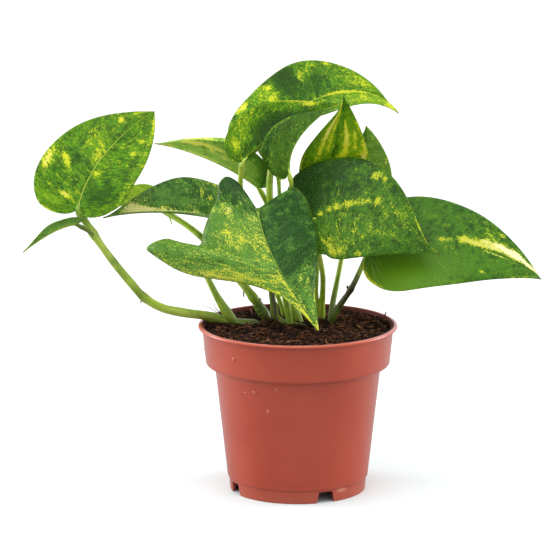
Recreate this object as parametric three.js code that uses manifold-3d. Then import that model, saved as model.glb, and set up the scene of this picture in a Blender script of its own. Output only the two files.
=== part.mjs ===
// A pothos in a plastic nursery pot: thin heart-shaped leaves on petioles and one creeping stem,
// rooted in soil. Millimetres, +Z up. The plant is laid out about the pot's own axis, and the
// whole group is then moved sideways so that the origin is under the middle of its bounding box.
import * as THREE from "three";
import { mergeVertices } from "three/addons/utils/BufferGeometryUtils.js";
import Module from "manifold-3d";

const wasm = await Module();
wasm.setup();

// ---------------------------------------------------------------- driving sizes, mm and degrees
const GAP = 0.3; // air between two pieces that touch
const BLADE = 0.7; // thickness of a leaf
const LEAF_ROWS = 14; // steps along a margin, unless a leaf has rows of its own
const LEAF_COLUMNS = 4; // steps from the rib to a margin
const FANNED = 0.3; // share of a margin whose rows all start at the junction
const CROWD = 1.15; // how the feet of the other rows crowd towards it
const SWELL = 0.06; // how far a free row swells from a straight line, by its length
const STEM_SIDES = 8;

const POT = {
  height: 101,
  lip: 60, // radius over the rolled lip
  lipHeight: 1.8,
  bandTop: 57.5, // radius of the band under the lip
  bandFoot: 55.4,
  bandLow: 78.5, // height where the band ends
  bodyHigh: 75.5, // height where the tapered body starts
  bodyTop: 49.9,
  bodyFoot: 42.3,
  footTop: 41.4, // radius of the foot ring
  footEnd: 40.7,
  footHeight: 7.6,
  wall: 1.6,
  floor: 6, // underside of the floor above the table
  floorThick: 1.8,
  segments: 64,
};
const NOTCH = { count: 4, first: -66, top: 9, bottom: 11, height: 6.9 }; // drainage notches in the foot
const DRAIN = { count: 4, radius: 4.5, ring: 24, first: 15 }; // drain holes in the floor

const SOIL = {
  edge: 97, // height of the surface at the wall
  crown: 99.8, // height at the middle
  lump: 0.7, // height of the lumps
  rings: 7,
  segments: 48,
};

// ---------------------------------------------------------------- finishes
const finish = (color, roughness) =>
  new THREE.MeshStandardMaterial({ color, roughness, metalness: 0 });
const TERRACOTTA = finish("#b4553e", 0.5);
const PEAT = finish("#2d1c13", 0.95);
const STEM_GREEN = finish("#86a52f", 0.45);
const LEAF_DARK = finish("#2f6b2a", 0.35);
const LEAF_MOTTLED = finish("#5d9a2c", 0.35);
const LEAF_PALE = finish("#7fa845", 0.4);

// ---------------------------------------------------------------- leaves
// rib: control points of the rib's curve, from the junction with the petiole to the tip.
// faces: where the upper side looks, at the junction and at the tip.
// half, lobe: half width and reach of the lobe behind the junction, left and right of the rib
//   as seen on the upper side with the tip pointing away.
// fold, curl: degrees that each half rises from flat at the rib, and turns on towards its margin.
// tip: how full each half stays towards the tip.
// edge, feet, reach: a leaf that grew out of true has, instead of all these, the points of each
//   margin in space, from the junction to the tip, and for each row, counted in shares, the share
//   of the rib at which it starts and the share of each margin at which it ends.
const LEAVES = {
  left_high: {
    finish: LEAF_MOTTLED,
    rib: [[-131, -8, 173], [-127, 0, 192], [-113, 12, 211], [-86, 26, 226]],
    faces: [[-0.3, -0.75, 0.55], [-0.3, -0.75, 0.55]],
    half: [34.5, 30.5],
    lobe: [5.5, 6],
    tip: [0.34, 0.85],
    fold: [8, 8],
    curl: [-10, -10],
  },
  left_folded: {
    finish: LEAF_PALE,
    rib: [[-133, -18, 166.5], [-142, -20, 165.5], [-153, -22, 158], [-163, -22, 149.5]],
    faces: [[-0.1, 0.3, 0.9], [-0.6, 0.3, 0.6]],
    half: [5, 5],
    lobe: [7, 7],
    tip: [0.1, 0.1],
    fold: [46, 46],
    curl: [0, 0],
    rows: 10,
  },
  left_middle: {
    finish: LEAF_DARK,
    rib: [[-45, 22, 161], [-70, 18, 167.5], [-95, 13, 169], [-117, 12, 163.5]],
    faces: [[0.05, -0.28, 0.96], [-0.05, -0.28, 0.96]],
    half: [21, 30],
    lobe: [2, 14],
    fold: [28, 19],
    curl: [-6, 0],
  },
  left_behind: {
    finish: LEAF_MOTTLED,
    rib: [[-84, 50, 163], [-93, 50, 168], [-109, 50, 170], [-124, 50, 160]],
    faces: [[0, -0.5, 0.85], [0, -0.5, 0.85]],
    half: [9, 14],
    lobe: [2, 4],
    fold: [10, 10],
    curl: [-10, -10],
  },
  front: {
    finish: LEAF_MOTTLED,
    rib: [[-24, -14, 173], [-20, -28, 152], [-6, -40, 132], [12, -46, 107]],
    faces: [[-0.25, -0.85, 0.35], [-0.25, -0.85, 0.35]],
    edge: [
      [[-24, -14, 173], [-19, -14, 177], [-11, -12, 182], [-2, -9, 186], [4, -9, 180],
        [8, -11, 171], [11, -15, 161], [12, -20, 151], [11, -29, 135], [10, -35, 126],
        [11, -42, 117], [12, -46, 107]],
      [[-24, -14, 173], [-27, -11, 177], [-32, -6, 183], [-37, -2, 189], [-43, 0, 191],
        [-47, -2, 187], [-48, -4, 179], [-52, -6, 170], [-56, -6, 160], [-58.5, -5.5, 150.5],
        [-62, -4, 149.7], [-67, -2, 151.3], [-72, -1, 151.5], [-77, 0, 153.6],
        [-82, 1, 152.6], [-89, 3, 149], [-91, 4, 146], [-87, 2, 143], [-80, -1, 139], [-72, -4, 135], [-61, -8, 132], [-49, -13, 132],
        [-35, -20, 132], [-21, -29, 131], [-8, -38, 125], [3, -43, 117], [12, -46, 107]],
    ],
    rows: 26,
    feet: [[0, 0], [0.12, 0], [0.23, 0.18], [0.28, 0.3], [0.32, 0.44], [0.42, 0.5], [0.5, 0.53],
      [0.62, 0.6], [1, 1]],
    reach: [
      [[0, 0], [0.12, 0.22], [0.23, 0.33], [0.32, 0.42], [0.42, 0.48], [0.62, 0.58], [1, 1]],
      [[0, 0], [1, 1]],
    ],
  },
  back_left: {
    finish: LEAF_PALE,
    rib: [[-23, 22, 180.5], [-36, 21, 191.5], [-62, 19, 204.5], [-86, 20, 207.5]],
    faces: [[0.2, 0.2, 0.9], [0, 0.2, 0.95]],
    half: [20, 24.5],
    lobe: [1, 6],
    fold: [50, 50],
    curl: [-10, -10],
  },
  top: {
    finish: LEAF_MOTTLED,
    rib: [[-17, 42, 215], [6, 43, 233], [45, 48, 245], [61, 42, 222]],
    faces: [[0, -0.34, 0.94], [0.15, -0.7, 0.7]],
    half: [33.5, 26],
    lobe: [27, 14],
    tip: [-0.2, 0.4],
    fold: [10, 18],
    curl: [0, 0],
  },
  top_front: {
    finish: LEAF_MOTTLED,
    rib: [[-33, -1, 200.5], [-22, 1, 212.5], [-5, 9, 223], [28, 18, 233]],
    faces: [[-0.2, -0.8, 0.5], [-0.1, -0.8, 0.5]],
    half: [21, 11],
    lobe: [5, 3],
    fold: [10, -105],
    curl: [10, 0],
  },
  centre_fold: {
    finish: LEAF_DARK,
    rib: [[-6, -12, 195.5], [-8, -14, 209.5], [2, -8, 223], [21, 8, 232]],
    faces: [[-0.7, 0.5, 0.4], [-0.6, 0.5, 0.5]],
    half: [19, 13],
    lobe: [6, 2],
    tip: [0, 0.03],
    fold: [90, 40],
    curl: [0, 0],
  },
  upper_right: {
    finish: LEAF_MOTTLED,
    rib: [[17, 24, 177], [21, 20, 197], [25, 12, 220], [27, 6, 239]],
    faces: [[0, -0.97, 0.1], [0, -0.97, 0.1]],
    half: [19, 23],
    lobe: [8, 8],
    tip: [-0.1, 0.4],
    fold: [12, 12],
    curl: [-10, -10],
  },
  back_small: {
    finish: LEAF_MOTTLED,
    rib: [[-12, 34, 194], [-16, 48, 202], [-20, 64, 202], [-23, 76, 190]],
    faces: [[0, 0, 1], [0, 0.2, 1]],
    half: [10, 10],
    lobe: [4, 4],
    fold: [12, 12],
    curl: [-10, -10],
  },
  right_behind: {
    finish: LEAF_MOTTLED,
    rib: [[32, 36, 173], [38, 35, 190], [43, 31, 205], [41, 28, 217]],
    faces: [[0, -0.95, 0.2], [0, -0.95, 0.2]],
    half: [18, 21.5],
    lobe: [8, 8],
    tip: [0.1, 0.3],
    fold: [8, 8],
    curl: [-10, -10],
  },
  right_centre: {
    finish: LEAF_DARK,
    rib: [[8, -8, 166], [26, -13, 178], [56, -20, 172], [84, -26, 149]],
    faces: [[-0.15, -0.82, 0.55], [0, -0.78, 0.62]],
    half: [37.5, 29.5],
    lobe: [14, 10],
    tip: [-0.2, 0.45],
    fold: [0, 0],
    curl: [-10, -10],
  },
  right_low: {
    finish: LEAF_DARK,
    rib: [[43, 2, 145], [70, -6, 160], [115, -10, 154], [145.5, -8, 130]],
    faces: [[0.1, -0.65, 0.75], [0.1, -0.65, 0.75]],
    half: [34.5, 36],
    lobe: [13, 8],
    tip: [0.3, 0.42],
    fold: [4, 4],
    curl: [-12, -12],
  },
};

// ---------------------------------------------------------------- stems and petioles
// Each node holds the green runs that grow together. A run has its route, from the soil up, and its
// radius at the root and at the end; a run with a leaf stops under that leaf's blade.
const STEMS = {
  stem_left: [
    {
      route: [[-19, 4, 97], [-27, 9, 98.5], [-42, 12, 99.5], [-55, 9, 104], [-68, 4, 107],
        [-81.5, 0, 111], [-92, -3, 118], [-99.5, -5, 127], [-109, -6, 139], [-119.5, -7, 154],
        [-126, -6, 164], [-129, -4, 170]],
      radius: [3.1, 2],
      leaf: "left_high",
    },
    {
      route: [[-119.5, -7, 155], [-126, -11, 161], [-132, -16, 166]],
      radius: [1.4, 0.9],
      leaf: "left_folded",
    },
    {
      route: [[-38, 11, 99], [-44, 10, 108], [-51, 8, 121], [-56, 7, 134], [-55, 12, 148], [-47, 20, 158.5]],
      radius: [2.2, 1.6],
      leaf: "left_middle",
    },
  ],
  petiole_left_behind: [
    {
      route: [[-17, 22, 94], [-20, 22, 102], [-28, 22, 114], [-36, 24, 124], [-56, 30, 146], [-67, 36, 154],
        [-79, 45, 160], [-83, 49, 161.5]],
      radius: [3, 1.6],
      leaf: "left_behind",
    },
  ],
  petiole_front: [
    {
      route: [[-4, 3, 93], [-6, 2, 110], [-12, 0, 135], [-20, -4, 158], [-23, -11, 170]],
      radius: [2.2, 1.6],
      leaf: "front",
    },
  ],
  petiole_top_front: [
    {
      route: [[-8, 14, 93], [-13, 15, 101], [-15, 14, 112], [-17, 13, 125], [-26, 11, 155], [-34, 9, 180],
        [-34, 5, 192], [-33, 2, 199]],
      radius: [2, 1.4],
      leaf: "top_front",
    },
  ],
  petiole_back_left: [
    {
      route: [[-7, 26, 93], [-9, 26, 104], [-13, 26, 117], [-14, 25, 145], [-18, 24, 168], [-22, 23, 178.5]],
      radius: [1.6, 1.4],
      leaf: "back_left",
    },
  ],
  petiole_top: [
    {
      route: [[4, 8, 93], [-2, 9, 108], [-8, 10, 122], [-15, 12, 160], [-17, 13, 182], [-16, 13, 194],
        [-14, 26, 206], [-16.5, 40, 213]],
      radius: [2.6, 1.7],
      leaf: "top",
    },
  ],
  petiole_back_small: [
    {
      route: [[2, 20, 93], [-2, 21, 115], [-9, 23, 150], [-11, 26, 175], [-12, 32, 191]],
      radius: [1.5, 1.2],
      leaf: "back_small",
    },
  ],
  petiole_centre_fold: [
    {
      route: [[6, 14, 93], [5, 14, 108], [1, 9, 128], [-5, 1, 148], [-8, -1, 162], [-7, -1, 174],
        [-4, -2.5, 184], [-6, -10.5, 193]],
      radius: [1.6, 1.2],
      leaf: "centre_fold",
    },
  ],
  stem_centre_right: [
    {
      route: [[14, 21, 93], [14, 19, 104], [15, 14, 116], [15, 6, 130], [13, 0, 142],
        [9.5, -4, 155], [8.5, -7, 163]],
      radius: [1.9, 1.4],
      leaf: "right_centre",
    },
    {
      route: [[13.5, 20, 101], [11, 16, 115], [12, 15, 135], [15, 19, 160], [17, 26, 175]],
      radius: [1.6, 1.4],
      leaf: "upper_right",
    },
  ],
  stem_right: [
    {
      route: [[19, 10, 93], [21, 8, 103], [26, 6, 112], [31, 4, 120], [34, 2, 126], [42, 2, 143]],
      radius: [2, 1.5],
      leaf: "right_low",
    },
    {
      route: [[19.5, 10, 99], [21, 13, 110], [23, 16, 120], [28, 25, 145], [32, 38.5, 171]],
      radius: [1.8, 1.4],
      leaf: "right_behind",
    },
  ],
};

// ---------------------------------------------------------------- helpers
const rad = THREE.MathUtils.degToRad;
const vec = ([x, y, z]) => new THREE.Vector3(x, y, z);

// A closed geometry as a solid, and a solid as a geometry.
function solid(geometry) {
  const bare = geometry.clone();
  bare.deleteAttribute("normal");
  bare.deleteAttribute("uv");
  const merged = mergeVertices(bare, 1e-3);
  return new wasm.Manifold(
    new wasm.Mesh({
      numProp: 3,
      vertProperties: merged.attributes.position.array,
      triVerts: new Uint32Array(merged.index.array),
    }),
  );
}

function geometryOf(body) {
  const { vertProperties, triVerts } = body.getMesh();
  return new THREE.BufferGeometry()
    .setAttribute("position", new THREE.BufferAttribute(vertProperties, 3))
    .setIndex(new THREE.BufferAttribute(triVerts, 1));
}

// A profile of radius and height turned about the pot's axis.
function turned(profile, segments) {
  const points = profile.map(([r, z]) => new THREE.Vector2(r, z));
  return new THREE.LatheGeometry(points, segments).rotateX(Math.PI / 2);
}

// ---------------------------------------------------------------- pot and soil
// The inner wall from the floor to the lip: the pot's cavity, and less a gap, the soil's side.
const CAVITY = [
  [POT.bodyFoot - POT.wall, POT.floor + POT.floorThick],
  [POT.bodyTop - POT.wall, POT.bodyHigh - 0.5],
  [POT.bandFoot - POT.wall - 2, POT.bodyHigh + 1],
  [POT.bandFoot - POT.wall, POT.bandLow + 0.5],
  [POT.bandTop - POT.wall, POT.height - POT.lipHeight],
];

function potBody() {
  const outside = [
    [0, POT.floor],
    [POT.footEnd - POT.wall, POT.floor],
    [POT.footEnd - POT.wall, 0],
    [POT.footEnd, 0],
    [POT.footTop, POT.footHeight],
    [POT.bodyFoot, POT.footHeight + 0.9],
    [POT.bodyTop, POT.bodyHigh],
    [POT.bandFoot - 2, POT.bodyHigh + 1],
    [POT.bandFoot - 0.4, POT.bandLow - 1],
    [POT.bandFoot, POT.bandLow],
    [POT.bandTop, POT.height - POT.lipHeight],
    [POT.lip - 0.4, POT.height - POT.lipHeight],
    [POT.lip, POT.height - POT.lipHeight / 2],
    [POT.lip - 0.5, POT.height],
    [POT.bandTop - POT.wall + 0.8, POT.height],
  ];
  const profile = [...outside, ...CAVITY.toReversed(), [0, POT.floor + POT.floorThick]];
  let body = solid(turned(profile, POT.segments));
  for (let i = 0; i < NOTCH.count; i++) {
    const outline = new THREE.Shape([
      new THREE.Vector2(-NOTCH.bottom / 2, -1),
      new THREE.Vector2(NOTCH.bottom / 2, -1),
      new THREE.Vector2(NOTCH.top / 2, NOTCH.height),
      new THREE.Vector2(-NOTCH.top / 2, NOTCH.height),
    ]);
    const cutter = new THREE.ExtrudeGeometry(outline, { depth: 8, bevelEnabled: false })
      .rotateX(Math.PI / 2)
      .rotateZ(Math.PI / 2)
      .translate(POT.footEnd - 6, 0, 0)
      .rotateZ(rad(NOTCH.first + (i * 360) / NOTCH.count));
    body = body.subtract(solid(cutter));
    const drain = new THREE.CylinderGeometry(DRAIN.radius, DRAIN.radius, 10, 12)
      .rotateX(Math.PI / 2)
      .translate(DRAIN.ring, 0, POT.floor)
      .rotateZ(rad(DRAIN.first + (i * 360) / DRAIN.count));
    body = body.subtract(solid(drain));
  }
  return body;
}

// Height of the soil's lumpy surface: a low mound with smooth lumps that die out at the wall.
function soilHeight(x, y) {
  const reach = Math.hypot(x, y) / POT.bandTop;
  const mound = SOIL.edge + (SOIL.crown - SOIL.edge) * (1 - reach ** 2);
  return mound + SOIL.lump * Math.sin(0.23 * x + 1.1) * Math.cos(0.27 * y - 0.4 + 0.05 * x);
}

function soilBody() {
  const side = CAVITY.map(([r, z]) => [r - GAP, z]);
  side[0][1] += GAP;
  side[side.length - 1][1] = SOIL.edge;
  const rim = side.at(-1)[0];
  const profile = [[0, side[0][1]], ...side];
  for (let i = SOIL.rings - 1; i >= 0; i--) profile.push([(rim * i) / SOIL.rings, SOIL.crown]);
  const lathe = turned(profile, SOIL.segments);
  const position = lathe.getAttribute("position");
  for (let i = 0; i < position.count; i++)
    if (position.getZ(i) > SOIL.edge - 1)
      position.setZ(i, soilHeight(position.getX(i), position.getY(i)));
  return solid(lathe);
}

// ---------------------------------------------------------------- stems
// A tapered cylinder bent along its route, wider all round by grow.
function stemGeometry({ route, radius }, grow = 0) {
  const curve = new THREE.CatmullRomCurve3(route.map(vec));
  const steps = Math.max(6, Math.round(curve.getLength() / 8));
  const frames = curve.computeFrenetFrames(steps);
  const tube = new THREE.CylinderGeometry(radius[1] + grow, radius[0] + grow, 1, STEM_SIDES, steps);
  const position = tube.getAttribute("position");
  for (let i = 0; i < position.count; i++) {
    const [x, y, z] = [position.getX(i), position.getY(i), position.getZ(i)];
    const step = Math.round((y + 0.5) * steps);
    const end = step === 0 ? -grow : step === steps ? grow : 0;
    const p = curve
      .getPointAt(step / steps)
      .addScaledVector(frames.normals[step], x)
      .addScaledVector(frames.binormals[step], -z)
      .addScaledVector(frames.tangents[step], end);
    position.setXYZ(i, p.x, p.y, p.z);
  }
  return tube;
}

const largest = (body) => body.decompose().sort((a, b) => b.volume() - a.volume())[0];

// The runs of one node joined, each cut off clear of its leaf.
function stemBody(runs) {
  return runs
    .map((run) => {
      const near = solid(bladeGeometry(LEAVES[run.leaf], BLADE + 2 * GAP));
      return largest(solid(stemGeometry(run)).subtract(near));
    })
    .reduce((all, run) => all.add(run));
}

// ---------------------------------------------------------------- leaf blade
// One half of a flat leaf: points of its margin from the junction, round the lobe, to the tip.
function marginPoints(leaf, side, length) {
  const half = leaf.half[side];
  const lobe = leaf.lobe[side];
  const fullness = leaf.tip?.[side] ?? 0.1;
  const widest = 0.25 * length;
  const path = new THREE.CurvePath();
  path.add(
    new THREE.CubicBezierCurve(
      new THREE.Vector2(0, 0),
      new THREE.Vector2(-1.5 * lobe, 0.1 * half),
      new THREE.Vector2(-1.1 * lobe, half),
      new THREE.Vector2(widest, half),
    ),
  );
  path.add(
    new THREE.CubicBezierCurve(
      new THREE.Vector2(widest, half),
      new THREE.Vector2(widest + 0.38 * (length - widest), half),
      new THREE.Vector2(0.8 * length, fullness * half),
      new THREE.Vector2(length, 0),
    ),
  );
  return path.getSpacedPoints(leaf.rows ?? LEAF_ROWS);
}

// A straight-grown leaf: each row is a curve on the flat leaf, which is then folded and curled
// about the rib. Gives the point at share v of the row that ends at share s of the margin.
function shapedRows(leaf, side, rib, upAt) {
  const length = rib.getLength();
  const margin = marginPoints(leaf, side, length);
  const start = rad(leaf.fold[side]);
  const turn = rad(leaf.curl[side]) / leaf.half[side];
  const way = side === 0 ? 1 : -1;
  return (s, v) => {
    const end = margin[Math.round(s * (margin.length - 1))];
    const foot = length * (Math.max(0, s - FANNED) / (1 - FANNED)) ** CROWD;
    const bow = 2 * v * (1 - v);
    const x = foot + (end.x - foot) * (0.3 * bow + v * v);
    const d = end.y * (0.62 * bow + v * v);
    const t = THREE.MathUtils.clamp(x / length, 0, 1);
    const bent = Math.abs(turn) > 1e-6;
    const lift = start + turn * d;
    const flat = bent ? (Math.sin(lift) - Math.sin(start)) / turn : d * Math.cos(start);
    const rise = bent ? (Math.cos(start) - Math.cos(lift)) / turn : d * Math.sin(start);
    const ahead = rib.getTangentAt(t);
    const up = upAt(t, ahead);
    const left = up.clone().cross(ahead);
    return rib
      .getPointAt(t)
      .addScaledVector(ahead, Math.min(x, 0))
      .addScaledVector(left, way * flat)
      .addScaledVector(up, rise);
  };
}

// The value at s on straight lines between pairs of share and value.
function between(pairs, s) {
  const k = Math.max(1, pairs.findIndex(([share]) => share >= s));
  const [[s0, v0], [s1, v1]] = [pairs[k - 1], pairs[k]];
  return v0 + ((v1 - v0) * (s - s0)) / (s1 - s0);
}

// A leaf out of true: each row swells up from the straight line between the rib and the margin.
function freeRows(leaf, side, rib, upAt) {
  const margin = new THREE.CatmullRomCurve3(leaf.edge[side].map(vec));
  return (s, v) => {
    const t = between(leaf.feet, s);
    const foot = rib.getPointAt(t);
    const end = margin.getPointAt(between(leaf.reach[side], s));
    const span = end.distanceTo(foot);
    return foot
      .clone()
      .lerp(end, v)
      .addScaledVector(upAt(t, rib.getTangentAt(t)), SWELL * 4 * v * (1 - v) * span);
  };
}

// The leaf's middle surface: a fan of rows from the rib out to the margin.
function bladeSurface(leaf) {
  const rib = new THREE.CubicBezierCurve3(...leaf.rib.map(vec));
  const faces = leaf.faces.map(vec);
  const upAt = (t, ahead) => faces[0].clone().lerp(faces[1], t).projectOnPlane(ahead).normalize();
  const rowCount = leaf.rows ?? LEAF_ROWS;
  const points = [];
  const faceList = [];
  const seen = new Map();
  const vertex = (p) => {
    const key = p.toArray().map((c) => c.toFixed(3)).join();
    if (!seen.has(key)) {
      seen.set(key, points.length);
      points.push(p);
    }
    return seen.get(key);
  };
  for (const side of [0, 1]) {
    const place = (leaf.edge ? freeRows : shapedRows)(leaf, side, rib, upAt);
    const rows = [];
    for (let i = 0; i <= rowCount; i++) {
      rows.push([]);
      for (let j = 0; j <= LEAF_COLUMNS; j++)
        rows[i].push(vertex(place(i / rowCount, j / LEAF_COLUMNS)));
    }
    for (let i = 0; i < rowCount; i++)
      for (let j = 0; j < LEAF_COLUMNS; j++) {
        const [a, b] = [rows[i][j], rows[i][j + 1]];
        const [d, c] = [rows[i + 1][j], rows[i + 1][j + 1]];
        for (const tri of [[a, b, c], [a, c, d]])
          if (new Set(tri).size === 3) faceList.push(side === 0 ? tri.reverse() : tri);
      }
  }
  return { points, faces: faceList };
}

// The surface as a thin closed shell, its two sides split into the same triangles.
function bladeGeometry(leaf, thickness = BLADE) {
  const { points, faces } = bladeSurface(leaf);
  const middle = new THREE.BufferGeometry().setFromPoints(points).setIndex(faces.flat());
  middle.computeVertexNormals();
  const normal = middle.getAttribute("normal");
  const n = points.length;
  const position = [];
  for (const way of [0.5, -0.5])
    points.forEach((p, i) => {
      const out = new THREE.Vector3().fromBufferAttribute(normal, i);
      position.push(...p.clone().addScaledVector(out, way * thickness).toArray());
    });
  const index = [];
  const edges = new Map();
  for (const [a, b, c] of faces) {
    index.push(a, b, c, a + n, c + n, b + n);
    for (const [p, q] of [[a, b], [b, c], [c, a]])
      if (!edges.delete(q + "," + p)) edges.set(p + "," + q, [p, q]);
  }
  for (const [p, q] of edges.values()) index.push(p, p + n, q + n, p, q + n, q);
  return new THREE.BufferGeometry()
    .setAttribute("position", new THREE.Float32BufferAttribute(position, 3))
    .setIndex(index);
}

// ---------------------------------------------------------------- assembly
const plant = new THREE.Group();

function addPiece(name, geometry, material) {
  const mesh = new THREE.Mesh(geometry, material);
  mesh.name = name;
  plant.add(mesh);
  return mesh;
}

addPiece("pot", geometryOf(potBody()), TERRACOTTA);

let soil = soilBody();
for (const [name, runs] of Object.entries(STEMS)) {
  addPiece(name, geometryOf(stemBody(runs)), STEM_GREEN);
  for (const run of runs) soil = soil.subtract(solid(stemGeometry(run, GAP)));
}
addPiece("soil", geometryOf(largest(soil)), PEAT);

for (const [name, leaf] of Object.entries(LEAVES))
  addPiece("leaf_" + name, bladeGeometry(leaf), leaf.finish);

const middle = new THREE.Box3().setFromObject(plant).getCenter(new THREE.Vector3());
plant.position.set(-middle.x, -middle.y, 0);

export default plant;
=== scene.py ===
"""A young pothos with mottled leaves in a terracotta-coloured plastic nursery pot.

Sizes are millimetres about the pot's own axis until a mesh is made, and metres after that.
"""
import math

import bmesh
import bpy
import numpy as np
from mathutils import Matrix, Vector
from mathutils.noise import noise as noise_at, turbulence


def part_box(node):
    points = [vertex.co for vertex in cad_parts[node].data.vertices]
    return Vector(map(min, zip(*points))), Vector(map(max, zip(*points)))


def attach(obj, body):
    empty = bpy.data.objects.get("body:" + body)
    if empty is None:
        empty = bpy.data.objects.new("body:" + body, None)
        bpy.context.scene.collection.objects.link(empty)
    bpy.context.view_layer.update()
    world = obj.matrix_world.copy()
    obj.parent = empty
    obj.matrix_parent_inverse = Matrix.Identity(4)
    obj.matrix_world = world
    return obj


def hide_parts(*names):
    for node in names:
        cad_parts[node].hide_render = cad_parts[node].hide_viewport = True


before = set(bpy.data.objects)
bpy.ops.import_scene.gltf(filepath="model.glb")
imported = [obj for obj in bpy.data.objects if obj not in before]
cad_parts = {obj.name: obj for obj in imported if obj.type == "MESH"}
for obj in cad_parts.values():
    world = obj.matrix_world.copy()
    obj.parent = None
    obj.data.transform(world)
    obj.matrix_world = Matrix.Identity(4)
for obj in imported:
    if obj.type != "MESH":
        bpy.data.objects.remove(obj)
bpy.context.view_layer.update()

MM = 0.001
POT_LOW, POT_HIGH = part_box("pot")
AXIS = np.array([(POT_LOW[0] + POT_HIGH[0]) / 2, (POT_LOW[1] + POT_HIGH[1]) / 2, 0.0])

# ---------------------------------------------------------------- camera
CAMERA_DROP = math.radians(12.14)
CAMERA_DISTANCE = 2.4
CAMERA_LENS = 257.5
CAMERA_SENSOR = 36
CAMERA_AIM = Vector((-0.0107, 0.0, 0.128)) + Vector(AXIS)


def make_camera():
    data = bpy.data.cameras.new("view")
    data.lens = CAMERA_LENS
    data.sensor_width = CAMERA_SENSOR
    data.clip_end = 100
    camera = bpy.data.objects.new("view", data)
    back = Vector((0, -math.cos(CAMERA_DROP), math.sin(CAMERA_DROP)))
    camera.location = CAMERA_AIM + CAMERA_DISTANCE * back
    camera.rotation_euler = (math.pi / 2 - CAMERA_DROP, 0, 0)
    bpy.context.scene.collection.objects.link(camera)
    bpy.context.scene.camera = camera


make_camera()

# ---------------------------------------------------------------- sizes of the leaves
BLADE = 0.7  # thickness of a leaf along its rib
MARGIN = 0.24  # thickness at its margin
LEAF_ROWS = 150  # steps along one margin
LEAF_COLUMNS = 20  # steps from the rib to a margin
FANNED = 0.3  # share of a margin whose rows all start at the junction
CROWD = 1.15  # how the feet of the other rows crowd towards it
SWELL = 0.06  # how far a free row swells from a straight line, by its length
SIDE_VEINS = 12  # lateral veins in each half
RIB_GROOVE = 0.42  # depth of the groove over the rib, on the upper side
RIB_RIDGE = 1.0  # height of the rib on the under side
QUILT_RISE = 0.08  # how far the blade swells between its veins
QUILT_DIP = 0.2  # how far it sinks at them
FREE_QUILTING = 0.35  # share of that on a leaf that grew out of true
HEAVE = 0.4  # slow hills and hollows of the blade
WAVE = 0.45  # how far the margin waves up and down
NO_LINE = 9.0  # distance from the rib, in half widths of its line, given to a leaf without one

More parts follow.
